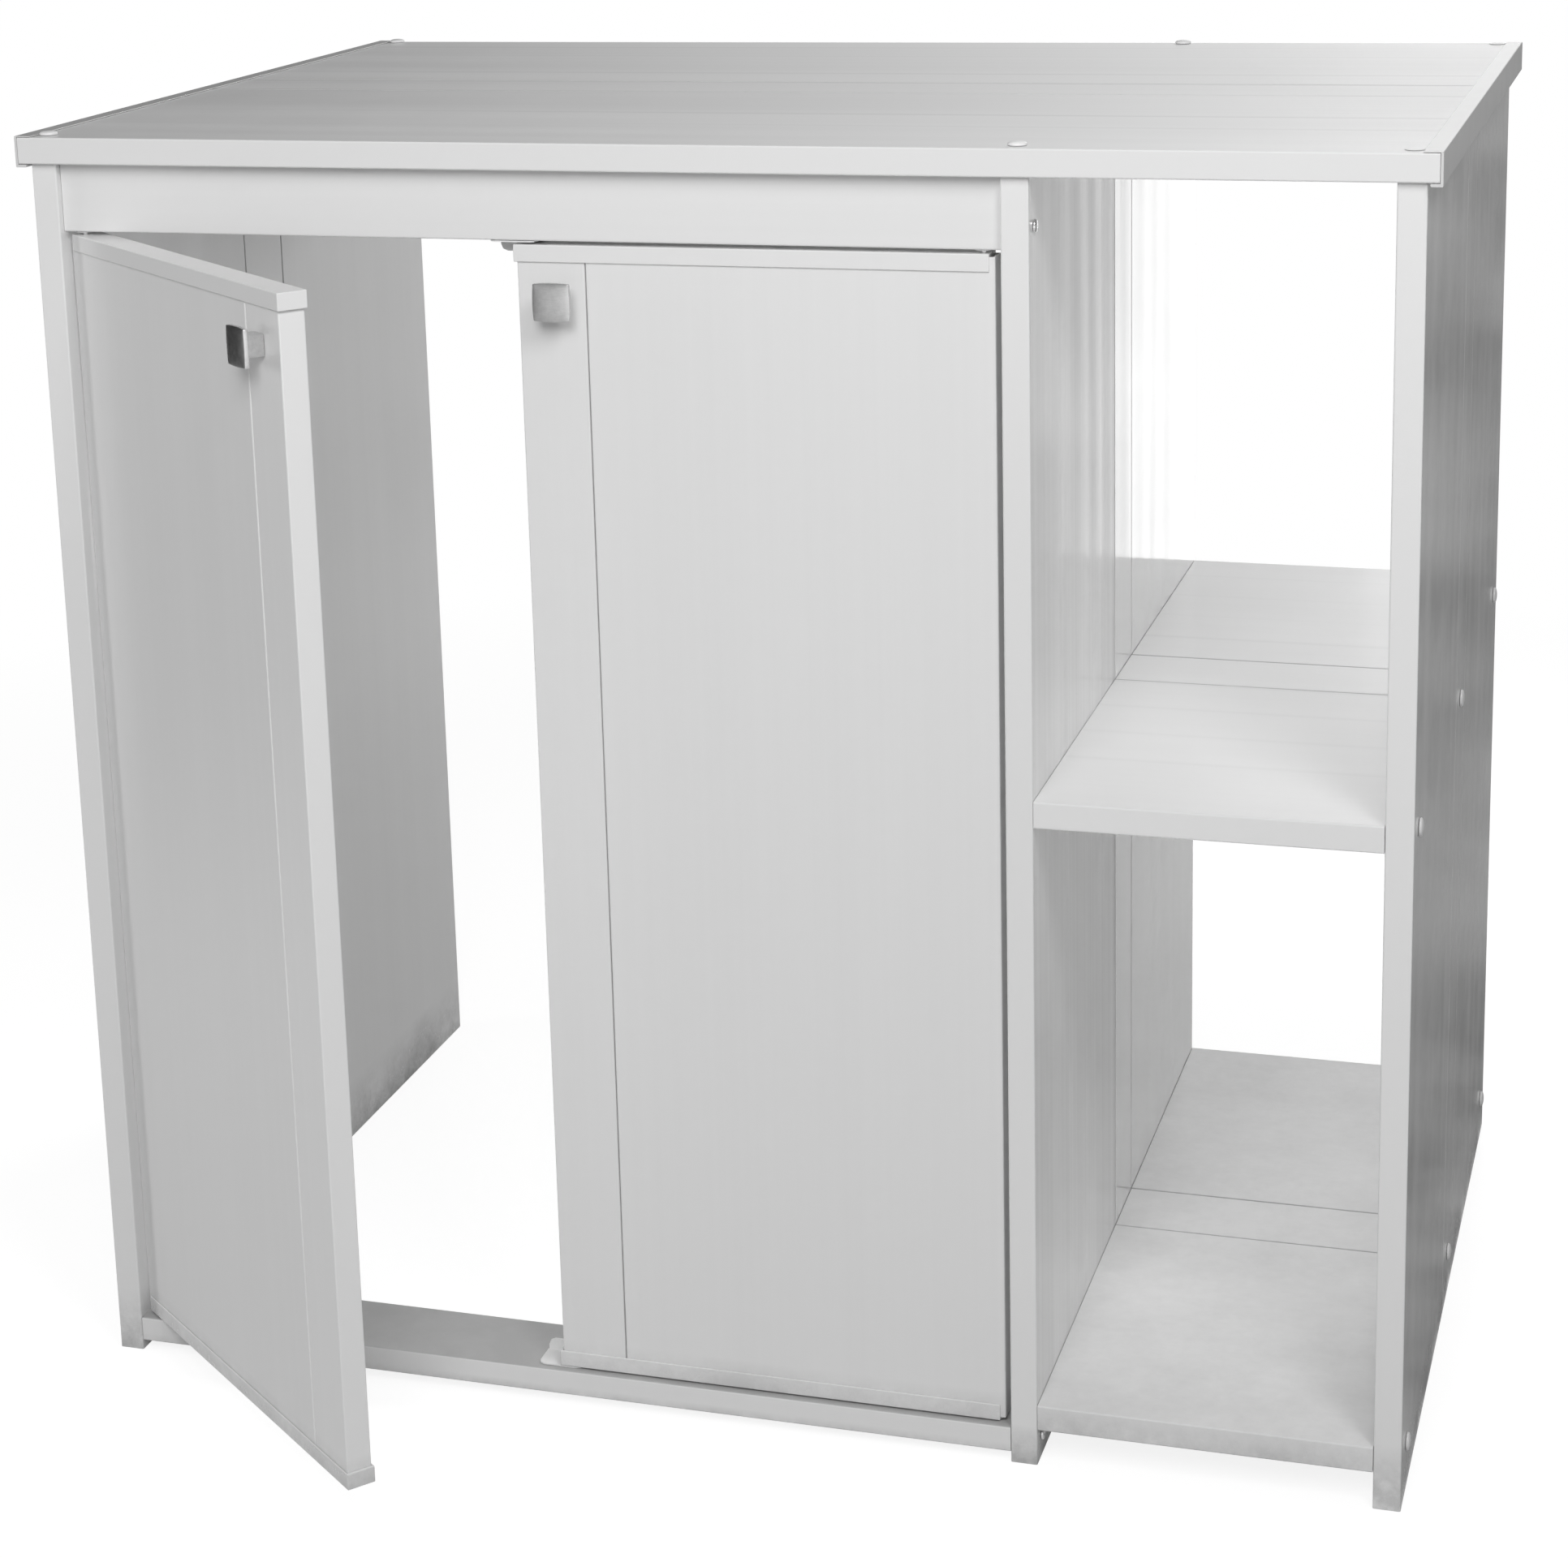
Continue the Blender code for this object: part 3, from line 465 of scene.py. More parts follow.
top_finish = plank_finish(
    "top planks", LYING, (0.28, 0.35), 1.2, 1.3, on_top, streaks=0.35, streaking=0.03, sinks=1.0
)
shelf_finish = plank_finish(
    "shelf planks", LYING, (0.28, 0.36), 1.3, 4.6, on_shelf, smudging=0.8, coat=0.2, sinks=0.4
)
# The hem reaches over this whole low shelf, as grime and as painted shade, darkest low on its
# front edge.
low_shelf_finish = plank_finish(
    "low shelf planks", LYING, (0.28, 0.36), 1.3, 5.8, on_shelf, smudging=0.3, hem=0.054
)
side_finish = plank_finish(
    "side planks", UPRIGHT_SIDE, (0.10, 0.18), 0.5, 7.9, on_upright, streaks=0.02, smudging=1.0
)
divider_finish = plank_finish(
    "divider planks", UPRIGHT_SIDE, (0.08, 0.16), 1.1, 12.4, on_upright, streaks=0.4, coat=0.6
)
# The divider's front plank is a lighter copy of the plank white, which is painted light. Its
# strong colour streaks are painted reflection, and its joint lines reach wide as a band of painted
# shade.
divider_front_finish = plank_finish(
    "divider front plank",
    UPRIGHT_SIDE,
    (0.12, 0.2),
    1.1,
    12.4,
    on_upright,
    streaks=0.5,
    white=0.88,
    streaking=0.10,
    joint=0.3,
    reach=0.012,
    hem=0.03,
)
fascia_finish = plank_finish("fascia plank", ON_EDGE, (0.30, 0.38), 0.3, 16.2)
rail_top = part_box("bottom_rail")[1].z
# The rail's top gets a painted shadow, of the washing machine that stands behind it.
rail_finish = plank_finish(
    "rail plank", LYING, (0.30, 0.38), 0.3, 18.8, hem=0.014, painted_shadow=rail_top - SHADOW_DEPTH
)
right_door_finish = plank_finish(
    "right door planks", RIGHT_DOOR, (0.28, 0.36), 0.5, 21.7, (DOOR_JOINT, NO_LINE), joint=0.35
)
# The left door's joint line is a painted highlight, in a near white.
left_door_finish = plank_finish(
    "left door wide plank",
    LEFT_DOOR,
    (0.28, 0.34),
    0.5,
    27.5,
    (LEFT_JOINT, NO_LINE),
    joint=0.8,
    joint_colour=LIT_EDGE,
)
# The narrow plank is a lighter copy of the plank white, which is painted light.
left_narrow_finish = plank_finish(
    "left door narrow plank", LEFT_DOOR, (0.28, 0.34), 0.5, 29.3, white=NARROW_LIT_WHITE
)


def assign(material, *node_names):
    for node_name in node_names:
        slots = nodes[node_name].data.materials
        slots.clear()
        slots.append(material)


PLANK_ROWS = ("front", "joint", "rear")
for panel, finish in (
    ("top", top_finish),
    ("middle_shelf", shelf_finish),
    ("bottom_shelf", low_shelf_finish),
    ("left_side", side_finish),
    ("right_side", side_finish),
    ("divider", divider_finish),
):
    assign(finish, *[f"{panel}_{row}_plank" for row in PLANK_ROWS])
assign(divider_front_finish, "divider_front_plank")
assign(fascia_finish, "fascia")
assign(rail_finish, "bottom_rail")
for door, finish in (("left_door", left_door_finish), ("right_door", right_door_finish)):
    assign(finish, f"{door}_wide_plank", f"{door}_narrow_plank")
assign(left_narrow_finish, "left_door_narrow_plank")
print("the left door stands open by", round(math.degrees(LEFT_SWING), 1), "degrees")

# %% [markdown]
# ## Making pieces
# The small fittings come from bmesh operators: a few points are spun into a round part, or a
# block is bevelled and extruded. Each one ends in the same helper, which puts the place into
# the mesh, lets the piece ride on its body, gives it its material, and hides the CAD nodes
# it stands for. A matrix with a mirror in it turns a mesh inside out, so the helper turns the
# faces back when the determinant is negative.

# %% A helper for finished pieces
SMOOTH_ANGLE = math.radians(35)
WELD = 0.000002
ROUND_STEPS = 40


def as_object(name, shape, material):
    mesh = bpy.data.meshes.new(name)
    shape.to_mesh(mesh)
    shape.free()
    mesh.materials.append(material)
    piece = bpy.data.objects.new(name, mesh)
    bpy.context.scene.collection.objects.link(piece)
    return piece


def finished(name, shape, material, body, place, replaces=(), smooth=SMOOTH_ANGLE):
    """An object from a bmesh, at the origin with its place in its mesh."""
    bmesh.ops.remove_doubles(shape, verts=shape.verts, dist=WELD)
    bmesh.ops.transform(shape, matrix=place, verts=shape.verts)
    if place.determinant() < 0:
        bmesh.ops.reverse_faces(shape, faces=shape.faces)
    piece = as_object(name, shape, material)
    piece.data.shade_smooth()
    piece.data.set_sharp_from_angle(angle=smooth)
    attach(piece, body)
    if replaces:
        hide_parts(*replaces)
    return piece


def lathed(profile, closed=False):
    """A bmesh: (radius, height) points from top to bottom, spun round Z."""
    shape = bmesh.new()
    chain = [shape.verts.new((radius, 0, height)) for radius, height in profile]
    ends = list(zip(chain, chain[1:] + chain[:1]))
    edges = [shape.edges.new(pair) for pair in (ends if closed else ends[:-1])]
    bmesh.ops.spin(
        shape,
        geom=chain + edges,
        cent=(0, 0, 0),
        axis=(0, 0, 1),
        angle=2 * math.pi,
        steps=ROUND_STEPS,
        use_merge=True,
        use_duplicate=False,
    )
    bmesh.ops.remove_doubles(shape, verts=shape.verts, dist=WELD)
    bmesh.ops.recalc_face_normals(shape, faces=shape.faces)
    return shape


def arc(radius, centre, start, end, count):
    """Points on a circle about (x, z), from one angle to the other, in degrees."""
    points = []
    for i in range(count + 1):
        angle = math.radians(start + (end - start) * i / count)
        points.append((centre[0] + radius * math.cos(angle), centre[1] + radius * math.sin(angle)))
    return points


def verts_of(geometry):
    return [item for item in geometry if isinstance(item, bmesh.types.BMVert)]


def rounded_edges(shape, chosen, radius, segments):
    bmesh.ops.bevel(
        shape,
        geom=chosen,
        offset=radius,
        offset_type="OFFSET",
        affect="EDGES",
        segments=segments,
        profile=0.5,
        material=-1,
        clamp_overlap=True,
    )


def seat_matrix(place, outward):
    """Turns local Z to the direction and moves the origin to the place."""
    turn = Vector(outward).to_track_quat("Z", "Y").to_matrix().to_4x4()
    return Matrix.Translation(place) @ turn


# %% [markdown]
# ## Moulded plastic
# Screw caps, bushes and door stops are moulded, not extruded, so they carry no streaks. Their
# skin has the faint cell pattern of a mould under an even satin, a little duller in soft patches
# where fingers and cloths rub. The channels over the plank ends are extruded like the planks but
# polished by handling, so they get the extrusion marks with a higher gloss; the channels at the
# ends of the top are also a darker white, which is painted shade. The door channels
# and the door stops keep their CAD shape, which is already soft-edged.

# %% Build the trim finishes
FINE_GRAIN = 0.00002
CLOUD_SPAN = (0.3, 0.7)
MOULD_CELLS = (1400.0, 2.0, 0.5)
MOULD_CLOUD = (160.0, 3.0, 0.6)
MOULD_DARKER = 0.02
MOULD_LIGHTER = 0.015


def moulded_finish(name, white, gloss, grain):
    material, tree = empty_material(name)
    place = add_node(tree, "TexCoord").outputs["Object"]
    cells = noise(tree, place, *MOULD_CELLS)
    cloud = noise(tree, place, *MOULD_CLOUD)
    tone = rescaled(tree, cloud, *CLOUD_SPAN, white - MOULD_DARKER, white + MOULD_LIGHTER)
    rough = rescaled(tree, cloud, *CLOUD_SPAN, *gloss)
    bump = add_node(tree, "Bump", {"Height": cells, "Strength": grain, "Distance": FINE_GRAIN})
    values = {"Base Color": grey(tree, tone), "Roughness": rough, "Normal": bump.outputs[0]}
    shaded(tree, values | {"IOR": PLASTIC_IOR})
    return material


# Painted shade: the end caps are a darker copy of the plank white.
END_CAP_SHADED_WHITE = 0.66
ALONG_DEPTH = (0, 0, QUARTER)
ALONG_LEFT_DOOR = (0, 0, LEFT_SWING)

cap_finish = moulded_finish("moulded screw caps", 0.83, (0.28, 0.42), 0.6)
bush_finish = moulded_finish("moulded bushes and stops", 0.81, (0.34, 0.5), 0.8)
end_cap_finish = plank_finish(
    "top end caps", ALONG_DEPTH, (0.18, 0.23), 0.1, 33.1, white=END_CAP_SHADED_WHITE
)
right_trim = plank_finish("right door channels", LYING, (0.2, 0.24), 0.1, 36.9)
left_trim = plank_finish("left door channels", ALONG_LEFT_DOOR, (0.2, 0.24), 0.1, 38.2)
assign(bush_finish, "upper_door_stop", "lower_door_stop")
for door, finish in (("left_door", left_trim), ("right_door", right_trim)):
    assign(finish, door + "_top_cap", door + "_bottom_cap")
print("trim finishes:", cap_finish.name, end_cap_finish.name, right_trim.name)

# %% [markdown]
# ## Metal
# The knobs are cast and then brushed, with a satin nickel look: fine scratches that run
# roughly one way, under a soft haze. Screws and pins are plain zinc plated steel, brighter and
# more blotchy. One group makes brushed scratches from a noise that is squeezed along one axis.

# %% Build the metal finishes
SCRATCH_CELLS = {"X": 140.0, "Y": 2600.0, "Z": 2600.0}
SCRATCH_SHARE = 0.4
SCRATCHES = (1.0, 3.0, 0.6)
METAL_HAZE = (260.0, 4.0, 0.6)
KNOB_GLOSS = (0.32, 0.42)


def brushing():
    tree, given, output = new_group(
        "brushed metal", "Vector", {"Fineness": 1.0}, ("Tone", "Height")
    )
    split = add_node(tree, "SeparateXYZ", {0: given["Vector"]}).outputs
    spread = {}
    for label, scale in SCRATCH_CELLS.items():
        spread[label] = times(tree, times(tree, split[label], scale), given["Fineness"])
    place = add_node(tree, "CombineXYZ", spread).outputs[0]
    scratches = noise(tree, place, *SCRATCHES)
    haze = noise(tree, given["Vector"], *METAL_HAZE)
    hazy = times(tree, haze, 1 - SCRATCH_SHARE)
    tone = plus(tree, times(tree, scratches, SCRATCH_SHARE), hazy)
    feed(tree, output, {"Tone": tone, "Height": scratches})
    return tree


BRUSHED = brushing()


def metal_finish(name, turn, dark, light, gloss, fineness):
    material, tree = empty_material(name)
    place = add_node(tree, "TexCoord").outputs["Object"]
    along = add_node(tree, "Mapping", {"Vector": place, "Rotation": turn}).outputs[0]
    marks = group_node(tree, BRUSHED, {"Vector": along, "Fineness": fineness})
    tone = rescaled(tree, marks["Tone"], *NOISE_SPAN, dark, light)
    rough = rescaled(tree, marks["Tone"], *NOISE_SPAN, *gloss)
    values = {"Height": marks["Height"], "Strength": 0.5, "Distance": FINE_GRAIN}
    bump = add_node(tree, "Bump", values)
    values = {"Base Color": grey(tree, tone), "Roughness": rough, "Normal": bump.outputs[0]}
    shaded(tree, values | {"Metallic": 1.0})
    return material


right_knob_finish = metal_finish("right knob metal", LYING, 0.60, 0.73, KNOB_GLOSS, 1.0)
# The left knob is a lighter copy of the same nickel, which is painted light.
left_knob_finish = metal_finish("left knob metal", ALONG_LEFT_DOOR, 0.66, 0.80, KNOB_GLOSS, 1.0)
steel_finish = metal_finish("zinc plated steel", LYING, 0.74, 0.90, (0.14, 0.26), 0.6)
print("metal finishes:", right_knob_finish.name, steel_finish.name)

# %% [markdown]
# ## Capped screws
# A white cap hides each screw head: a low dome with a short straight rim that sits on the
# plank. The shape is round, so a profile is spun: a low crown that curves over into the rim.
# The shank below is part of the same spin, because the piece stands for the whole capped
# screw. The CAD node's box tells where the dome's top is and which way it points. The
# two caps at the right end of the top hardly rise above it, so theirs is a much lower dome.

# %% Spin the capped screws
DOME_RADIUS = 0.0065
DOME_HEIGHT = 0.0028
FLUSH_HEIGHT = 0.0006
DOME_EDGE_SHARE = 0.32
DOME_FLATNESS = 0.9
DOME_STEPS = 8
DOME_RIM_SHARE = 0.3
DOME_FOOT = 0.0003
SHANK_RADIUS = 0.0017
SHANK_TIP = 0.003


def dome_profile(height=DOME_HEIGHT):
    edge = DOME_EDGE_SHARE * height
    sweep = []
    for i in range(DOME_STEPS + 1):
        angle = QUARTER * i / DOME_STEPS
        rise = edge + (height - edge) * math.cos(angle) ** DOME_FLATNESS
        sweep.append((DOME_RADIUS * math.sin(angle), rise))
    return sweep + [(DOME_RADIUS, DOME_RIM_SHARE * edge), (DOME_RADIUS - DOME_FOOT, 0)]


def shank_profile(length):
    return [(SHANK_RADIUS, 0), (SHANK_RADIUS, SHANK_TIP - length), (0, -length)]


def head_place(node, axis, sign, height):
    """The middle of the plane on which a head sits, from its CAD node's box."""
    low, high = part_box(node)
    place = (low + high) / 2
    place[axis] = high[axis] - height if sign > 0 else low[axis] + height
    length = high[axis] - low[axis] - height
    return place, length


def capped_screw(node, axis, height=DOME_HEIGHT):
    place, length = head_place(node, axis, 1, DOME_HEIGHT)
    outward = [0, 0, 0]
    outward[axis] = 1
    shape = lathed(dome_profile(height) + shank_profile(length))
    return finished(
        node + "_dome",
        shape,
        cap_finish,
        "cabinet",
        seat_matrix(place, outward),
        [node],
    )


caps = []
for place in ("left", "middle", "right"):
    for row in ("front", "rear"):
        height = FLUSH_HEIGHT if place == "right" else DOME_HEIGHT
        caps.append(capped_screw(f"top_{place}_{row}_screw", 2, height))
for shelf in ("middle_shelf", "bottom_shelf"):
    for row in PLANK_ROWS:
        caps.append(capped_screw(f"{shelf}_{row}_screw", 0))
print(len(caps), "capped screws,", len(caps[0].data.polygons), "faces each")

# %% [markdown]
# ## Knobs
# Each knob is a small square cushion on a square post. A grid is the right start, because its
# inner points can be pushed. It is extruded for the plate's thickness; then the four sides
# bulge a little, the corners stay, and the face crowns by about a millimetre. The middle of
# the back is extruded again for the post. Bevels round the rims at the end.

# %% Shape a knob
KNOB_SIDE = 0.027
KNOB_PLATE = 0.0045
KNOB_CROWN = 0.0011
KNOB_CROWN_POWER = 1.5
KNOB_BULGE = 0.0007
KNOB_CELLS = 9
KNOB_POST_CELLS = 5
KNOB_RIM = 0.0007
KNOB_RIM_ANGLE = math.radians(50)
KNOB_RIM_STEPS = 3
FACING = 0.9


def knob_shape(length):
    """A knob along -Y: its post starts at y = 0 and its face ends at y = -length."""
    shape = bmesh.new()
    bmesh.ops.create_grid(shape, x_segments=KNOB_CELLS, y_segments=KNOB_CELLS, size=0.5)
    stand_up = Matrix.Rotation(QUARTER, 4, "X")
    bmesh.ops.transform(shape, matrix=stand_up, verts=shape.verts)
    front = bmesh.ops.extrude_face_region(shape, geom=list(shape.faces))
    bmesh.ops.translate(shape, vec=(0, -KNOB_PLATE, 0), verts=verts_of(front["geom"]))
    bmesh.ops.recalc_face_normals(shape, faces=shape.faces)
    half = KNOB_SIDE / 2 - KNOB_BULGE
    for vert in shape.verts:
        u, v = 2 * vert.co.x, 2 * vert.co.z
        vert.co.x = half * u + KNOB_BULGE * u * (1 - v * v)
        vert.co.z = half * v + KNOB_BULGE * v * (1 - u * u)
        if vert.co.y < -KNOB_PLATE / 2:
            vert.co.y += KNOB_CROWN * (1 - (1 - u * u) * (1 - v * v)) ** KNOB_CROWN_POWER
    reach = KNOB_POST_CELLS / KNOB_CELLS * KNOB_SIDE / 2
    behind = [
        face
        for face in shape.faces
        if face.normal.y > FACING and max(abs(c) for c in face.calc_center_median().xz) < reach
    ]
    post = bmesh.ops.extrude_face_region(shape, geom=behind)
    tip = verts_of(post["geom"])
    bmesh.ops.delete(shape, geom=behind, context="FACES")
    bmesh.ops.translate(shape, vec=(0, length - KNOB_PLATE, 0), verts=tip)
    bmesh.ops.translate(shape, vec=(0, KNOB_PLATE - length, 0), verts=shape.verts)
    bmesh.ops.recalc_face_normals(shape, faces=shape.faces)
    return shape


def door_place(door):
    """From a closed door's own frame, at its pin and with X to its free edge, to its rest."""
    stand = Matrix.Translation(pin_place(door))
    if door == "left_door":
        return stand @ Matrix.Rotation(-LEFT_SWING, 4, "Z")
    return stand @ Matrix.Scale(-1, 4, (1, 0, 0))


def in_door_frame(node, side):
    """The middle of a face of one of the closed right door's nodes, in the doors' own frame."""
    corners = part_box(node)
    place = (corners[0] + corners[1]) / 2
    place.y = corners[side].y
    return door_place("right_door").inverted() @ place


knob_low, knob_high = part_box("right_door_knob")
KNOB_LENGTH = knob_high.y - knob_low.y
knob_seat = in_door_frame("right_door_knob", 1)
for door, finish in (("left_door", left_knob_finish), ("right_door", right_knob_finish)):
    shape = knob_shape(KNOB_LENGTH)
    rims = [
        edge
        for edge in shape.edges
        if len(edge.link_faces) == 2 and edge.calc_face_angle() > KNOB_RIM_ANGLE
    ]
    rounded_edges(shape, rims, KNOB_RIM, KNOB_RIM_STEPS)
    place = door_place(door) @ Matrix.Translation(knob_seat)
    knob = finished(
        door + "_cushion_knob", shape, finish, door, place, [door + "_knob"]
    )
print("knob:", round(1000 * KNOB_LENGTH, 1), "mm long,", len(knob.data.polygons), "faces")

# %% [markdown]
# ## Bare screws
# Steel pan head screws hold the fascia, the bottom board and the knobs. Their cross recess is
# what makes them read as screws, so it is real geometry. The start is the floor of the recess:
# a small square with an arm extruded from each side. Its outline grows up into the walls, is
# bridged to a ring, and the ring grows outwards and down into the head, the shank and a tip.
# Growing a ring is always the same three steps: extrude the edges, scale, and move.

# %% Grow the bare screws
PAN_RADIUS = 0.0046
PAN_HEIGHT = 0.002
PAN_RING = 0.0029
PAN_SHARES = ((0.83, 0.86), (0.95, 0.68), (1.0, 0.45), (1.0, 0.05), (0.98, 0.0))
TOP_SHARE = 0.94
RECESS_ARM = 0.0004
RECESS_REACH = 0.0023
RECESS_DEPTH = 0.0012
RECESS_TAPER = 1.12
SCREW_POINT = 0.00025
RING_SIDES = 32


def open_edges(shape):
    return [edge for edge in shape.edges if len(edge.link_faces) == 1]


def grow(shape, ring, ratio, rise):
    """Extrudes a ring of edges, scales it about Z and moves it along Z; gives the new ring."""
    verts = verts_of(bmesh.ops.extrude_edge_only(shape, edges=ring)["geom"])
    bmesh.ops.scale(shape, vec=(ratio, ratio, 1), verts=verts)
    bmesh.ops.translate(shape, vec=(0, 0, rise), verts=verts)
    new = set(verts)
    return [edge for edge in shape.edges if edge.verts[0] in new and edge.verts[1] in new]


def pan_screw(length):
    """A pan head screw along Z, with z = 0 at its seat."""
    shape = bmesh.new()
    bmesh.ops.create_grid(shape, x_segments=1, y_segments=1, size=RECESS_ARM)
    for edge in list(shape.edges):
        outward = (edge.verts[0].co + edge.verts[1].co).normalized()
        arm = verts_of(bmesh.ops.extrude_edge_only(shape, edges=[edge])["geom"])
        bmesh.ops.translate(shape, vec=outward * (RECESS_REACH - RECESS_ARM), verts=arm)
    top = TOP_SHARE * PAN_HEIGHT
    bmesh.ops.translate(shape, vec=(0, 0, top - RECESS_DEPTH), verts=shape.verts)
    mouth = grow(shape, open_edges(shape), RECESS_TAPER, RECESS_DEPTH)
    ring = bmesh.ops.create_circle(shape, segments=RING_SIDES, radius=PAN_RING)["verts"]
    bmesh.ops.translate(shape, vec=(0, 0, top), verts=ring)
    round_edges = [edge for edge in shape.edges if not edge.link_faces]
    bmesh.ops.bridge_loops(shape, edges=mouth + round_edges)
    steps = [(wide * PAN_RADIUS, high * PAN_HEIGHT) for wide, high in PAN_SHARES]
    steps += [(SHANK_RADIUS, 0), (SHANK_RADIUS, SHANK_TIP - length), (SCREW_POINT, -length)]
    radius, height, ring = PAN_RING, top, round_edges
    for new_radius, new_height in steps:
        ring = grow(shape, ring, new_radius / radius, new_height - height)
        radius, height = new_radius, new_height
    bmesh.ops.edgeloop_fill(shape, edges=ring)
    bmesh.ops.recalc_face_normals(shape, faces=shape.faces)
    return shape


def bare_screw(node, sign):
    place, length = head_place(node, 0, sign, PAN_HEIGHT)
    seat = seat_matrix(place, (sign, 0, 0))
    return finished(
        node + "_pan", pan_screw(length), steel_finish, "cabinet", seat, [node]
    )


for member in ("fascia", "rail"):
    bare_screw(member + "_left_screw", -1)
    screw = bare_screw(member + "_right_screw", 1)
screw_low, screw_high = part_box("right_door_knob_screw")
KNOB_SCREW_LENGTH = screw_high.y - screw_low.y - PAN_HEIGHT
screw_seat = in_door_frame("right_door_knob_screw", 1) - Vector((0, PAN_HEIGHT, 0))
for door in ("left_door", "right_door"):
    place = door_place(door) @ seat_matrix(screw_seat, (0, 1, 0))
    shape = pan_screw(KNOB_SCREW_LENGTH)
    node = door + "_knob_screw"
    finished(node + "_pan", shape, steel_finish, door, place, [node])
print("bare screw:", len(screw.data.polygons), "faces")

# %% [markdown]
# ## Pivots
# Each door turns on a steel pin at its top and its bottom corner. The pin sits in a flanged
# plastic bush in the fascia or in the bottom board. Both are round, so both are spun: the pin
# from an open profile with a chamfer at each end, and the bush from a closed one, which makes
# a ring. Every lathed height comes from the CAD boxes, so the pins still fit their bushes.

# %% Spin the pins and the bushes
PIN_RADIUS = 0.0025
PIN_CHAMFER = 0.0005
BUSH_BORE = 0.0028
BUSH_RADIUS = 0.0045
BUSH_FLANGE = 0.0009
BUSH_FLANGE_RADIUS = 0.006
BUSH_ROUND = 0.0003
BUSH_STEPS = 4


def pin_profile(length):
    inner = PIN_RADIUS - PIN_CHAMFER
    return [
        (0, length),
        (inner, length),
        (PIN_RADIUS, length - PIN_CHAMFER),
        (PIN_RADIUS, PIN_CHAMFER),
        (inner, 0),
        (0, 0),
    ]


def bush_profile(depth):
    """A flange above z = 0 and a sleeve below it, round a bore."""
    top = BUSH_FLANGE - BUSH_ROUND
    rim = arc(BUSH_ROUND, (BUSH_FLANGE_RADIUS - BUSH_ROUND, top), 90, 0, BUSH_STEPS)
    lip = arc(BUSH_ROUND, (BUSH_BORE + BUSH_ROUND, top), 180, 90, BUSH_STEPS)
    under = [(BUSH_FLANGE_RADIUS, 0), (BUSH_RADIUS, 0), (BUSH_RADIUS, BUSH_ROUND - depth)]
    foot = [(BUSH_RADIUS - BUSH_ROUND, -depth), (BUSH_BORE, -depth)]
    return rim + under + foot + lip


for door in ("left_door", "right_door"):
    hand = door.split("_")[0]
    for level, outward in (("upper", -1), ("lower", 1)):
        node = f"{hand}_{level}_bush"
        low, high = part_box(node)
        seat = (low + high) / 2
        seat.z = low.z + BUSH_FLANGE if outward < 0 else high.z - BUSH_FLANGE
        shape = lathed(bush_profile(high.z - low.z - BUSH_FLANGE), closed=True)
        place = seat_matrix(seat, (0, 0, outward))
        bush = finished(
            node + "_ring", shape, bush_finish, "cabinet", place, [node]
        )
        node = f"{door}_{level}_pin"
        low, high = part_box(node)
        foot = Vector(((low.x + high.x) / 2, (low.y + high.y) / 2, low.z))
        shape = lathed(pin_profile(high.z - low.z))
        place = Matrix.Translation(foot)
        finished(node + "_rod", shape, steel_finish, door, place, [node])
print("bush ring:", len(bush.data.polygons), "faces")

# %% [markdown]
# ## Channels over the ends of the top
# A plastic channel closes the plank ends at each side of the top. Its thin upper flange lies
# on the planks, and the lower one is thick and ends in a soft bead, which peeks out under the
# front corner. The section is eight points. It becomes a face, the face is extruded over the
# depth of the top, and bevels on the long edges then round the bead and the outer corners.
# Each bevel is named with its radius and its number of segments.

# %% Extrude the end caps
END_WEB = 0.0018
UPPER_WALL = 0.0007
LOWER_WALL = 0.002
LOWER_REACH = 0.008
OUTER_ROUND = (0.0007, 4)
BEAD_ROUND = (0.00092, 6)
TIP_ROUND = (0.0002, 2)
CRISP = math.radians(10)


def channel_section(reach, height):
    """The section from its outer lower corner, anticlockwise: X inwards and Z up."""
    return [
        (0, 0),
        (LOWER_REACH, 0),
        (LOWER_REACH, LOWER_WALL),
        (END_WEB, LOWER_WALL),
        (END_WEB, height - UPPER_WALL),
        (reach, height - UPPER_WALL),
        (reach, height),
        (0, height),
    ]


def end_cap(node, inward):
    low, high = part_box(node)
    size = high - low
    shape = bmesh.new()
    points = channel_section(size.x, size.z)
    section = shape.faces.new([shape.verts.new((x, 0, z)) for x, z in points])
    far = bmesh.ops.extrude_face_region(shape, geom=[section])
    bmesh.ops.translate(shape, vec=(0, size.y, 0), verts=verts_of(far["geom"]))
    bmesh.ops.recalc_face_normals(shape, faces=shape.faces)

    def long_edges(*corners):
        found = []
        for edge in shape.edges:
            ends = [(round(vert.co.x, 5), round(vert.co.z, 5)) for vert in edge.verts]
            if ends[0] == ends[1] and ends[0] in [(round(x, 5), round(z, 5)) for x, z in corners]:
                found.append(edge)
        return found

    rounded_edges(shape, long_edges(points[0], points[7]), *OUTER_ROUND)
    rounded_edges(shape, long_edges(points[1], points[2]), *BEAD_ROUND)
    rounded_edges(shape, long_edges(points[5], points[6]), *TIP_ROUND)
    place = Matrix.Translation((low.x if inward > 0 else high.x, low.y, low.z))
    place = place @ Matrix.Scale(inward, 4, (1, 0, 0))
    return finished(
        node + "_channel", shape, end_cap_finish, "cabinet", place, [node], CRISP
    )


end_cap("top_left_cap", 1)
channel = end_cap("top_right_cap", -1)
print("end cap:", len(channel.data.polygons), "faces")

# %% [markdown]
# ## Caps inside the wide bay
# The shelves are held from both ends. The screws through the divider start inside the wide
# bay, where the photograph doesn't reach, so their places mirror those on the right side. Only
# their caps are made here, as spun domes with a flat foot.

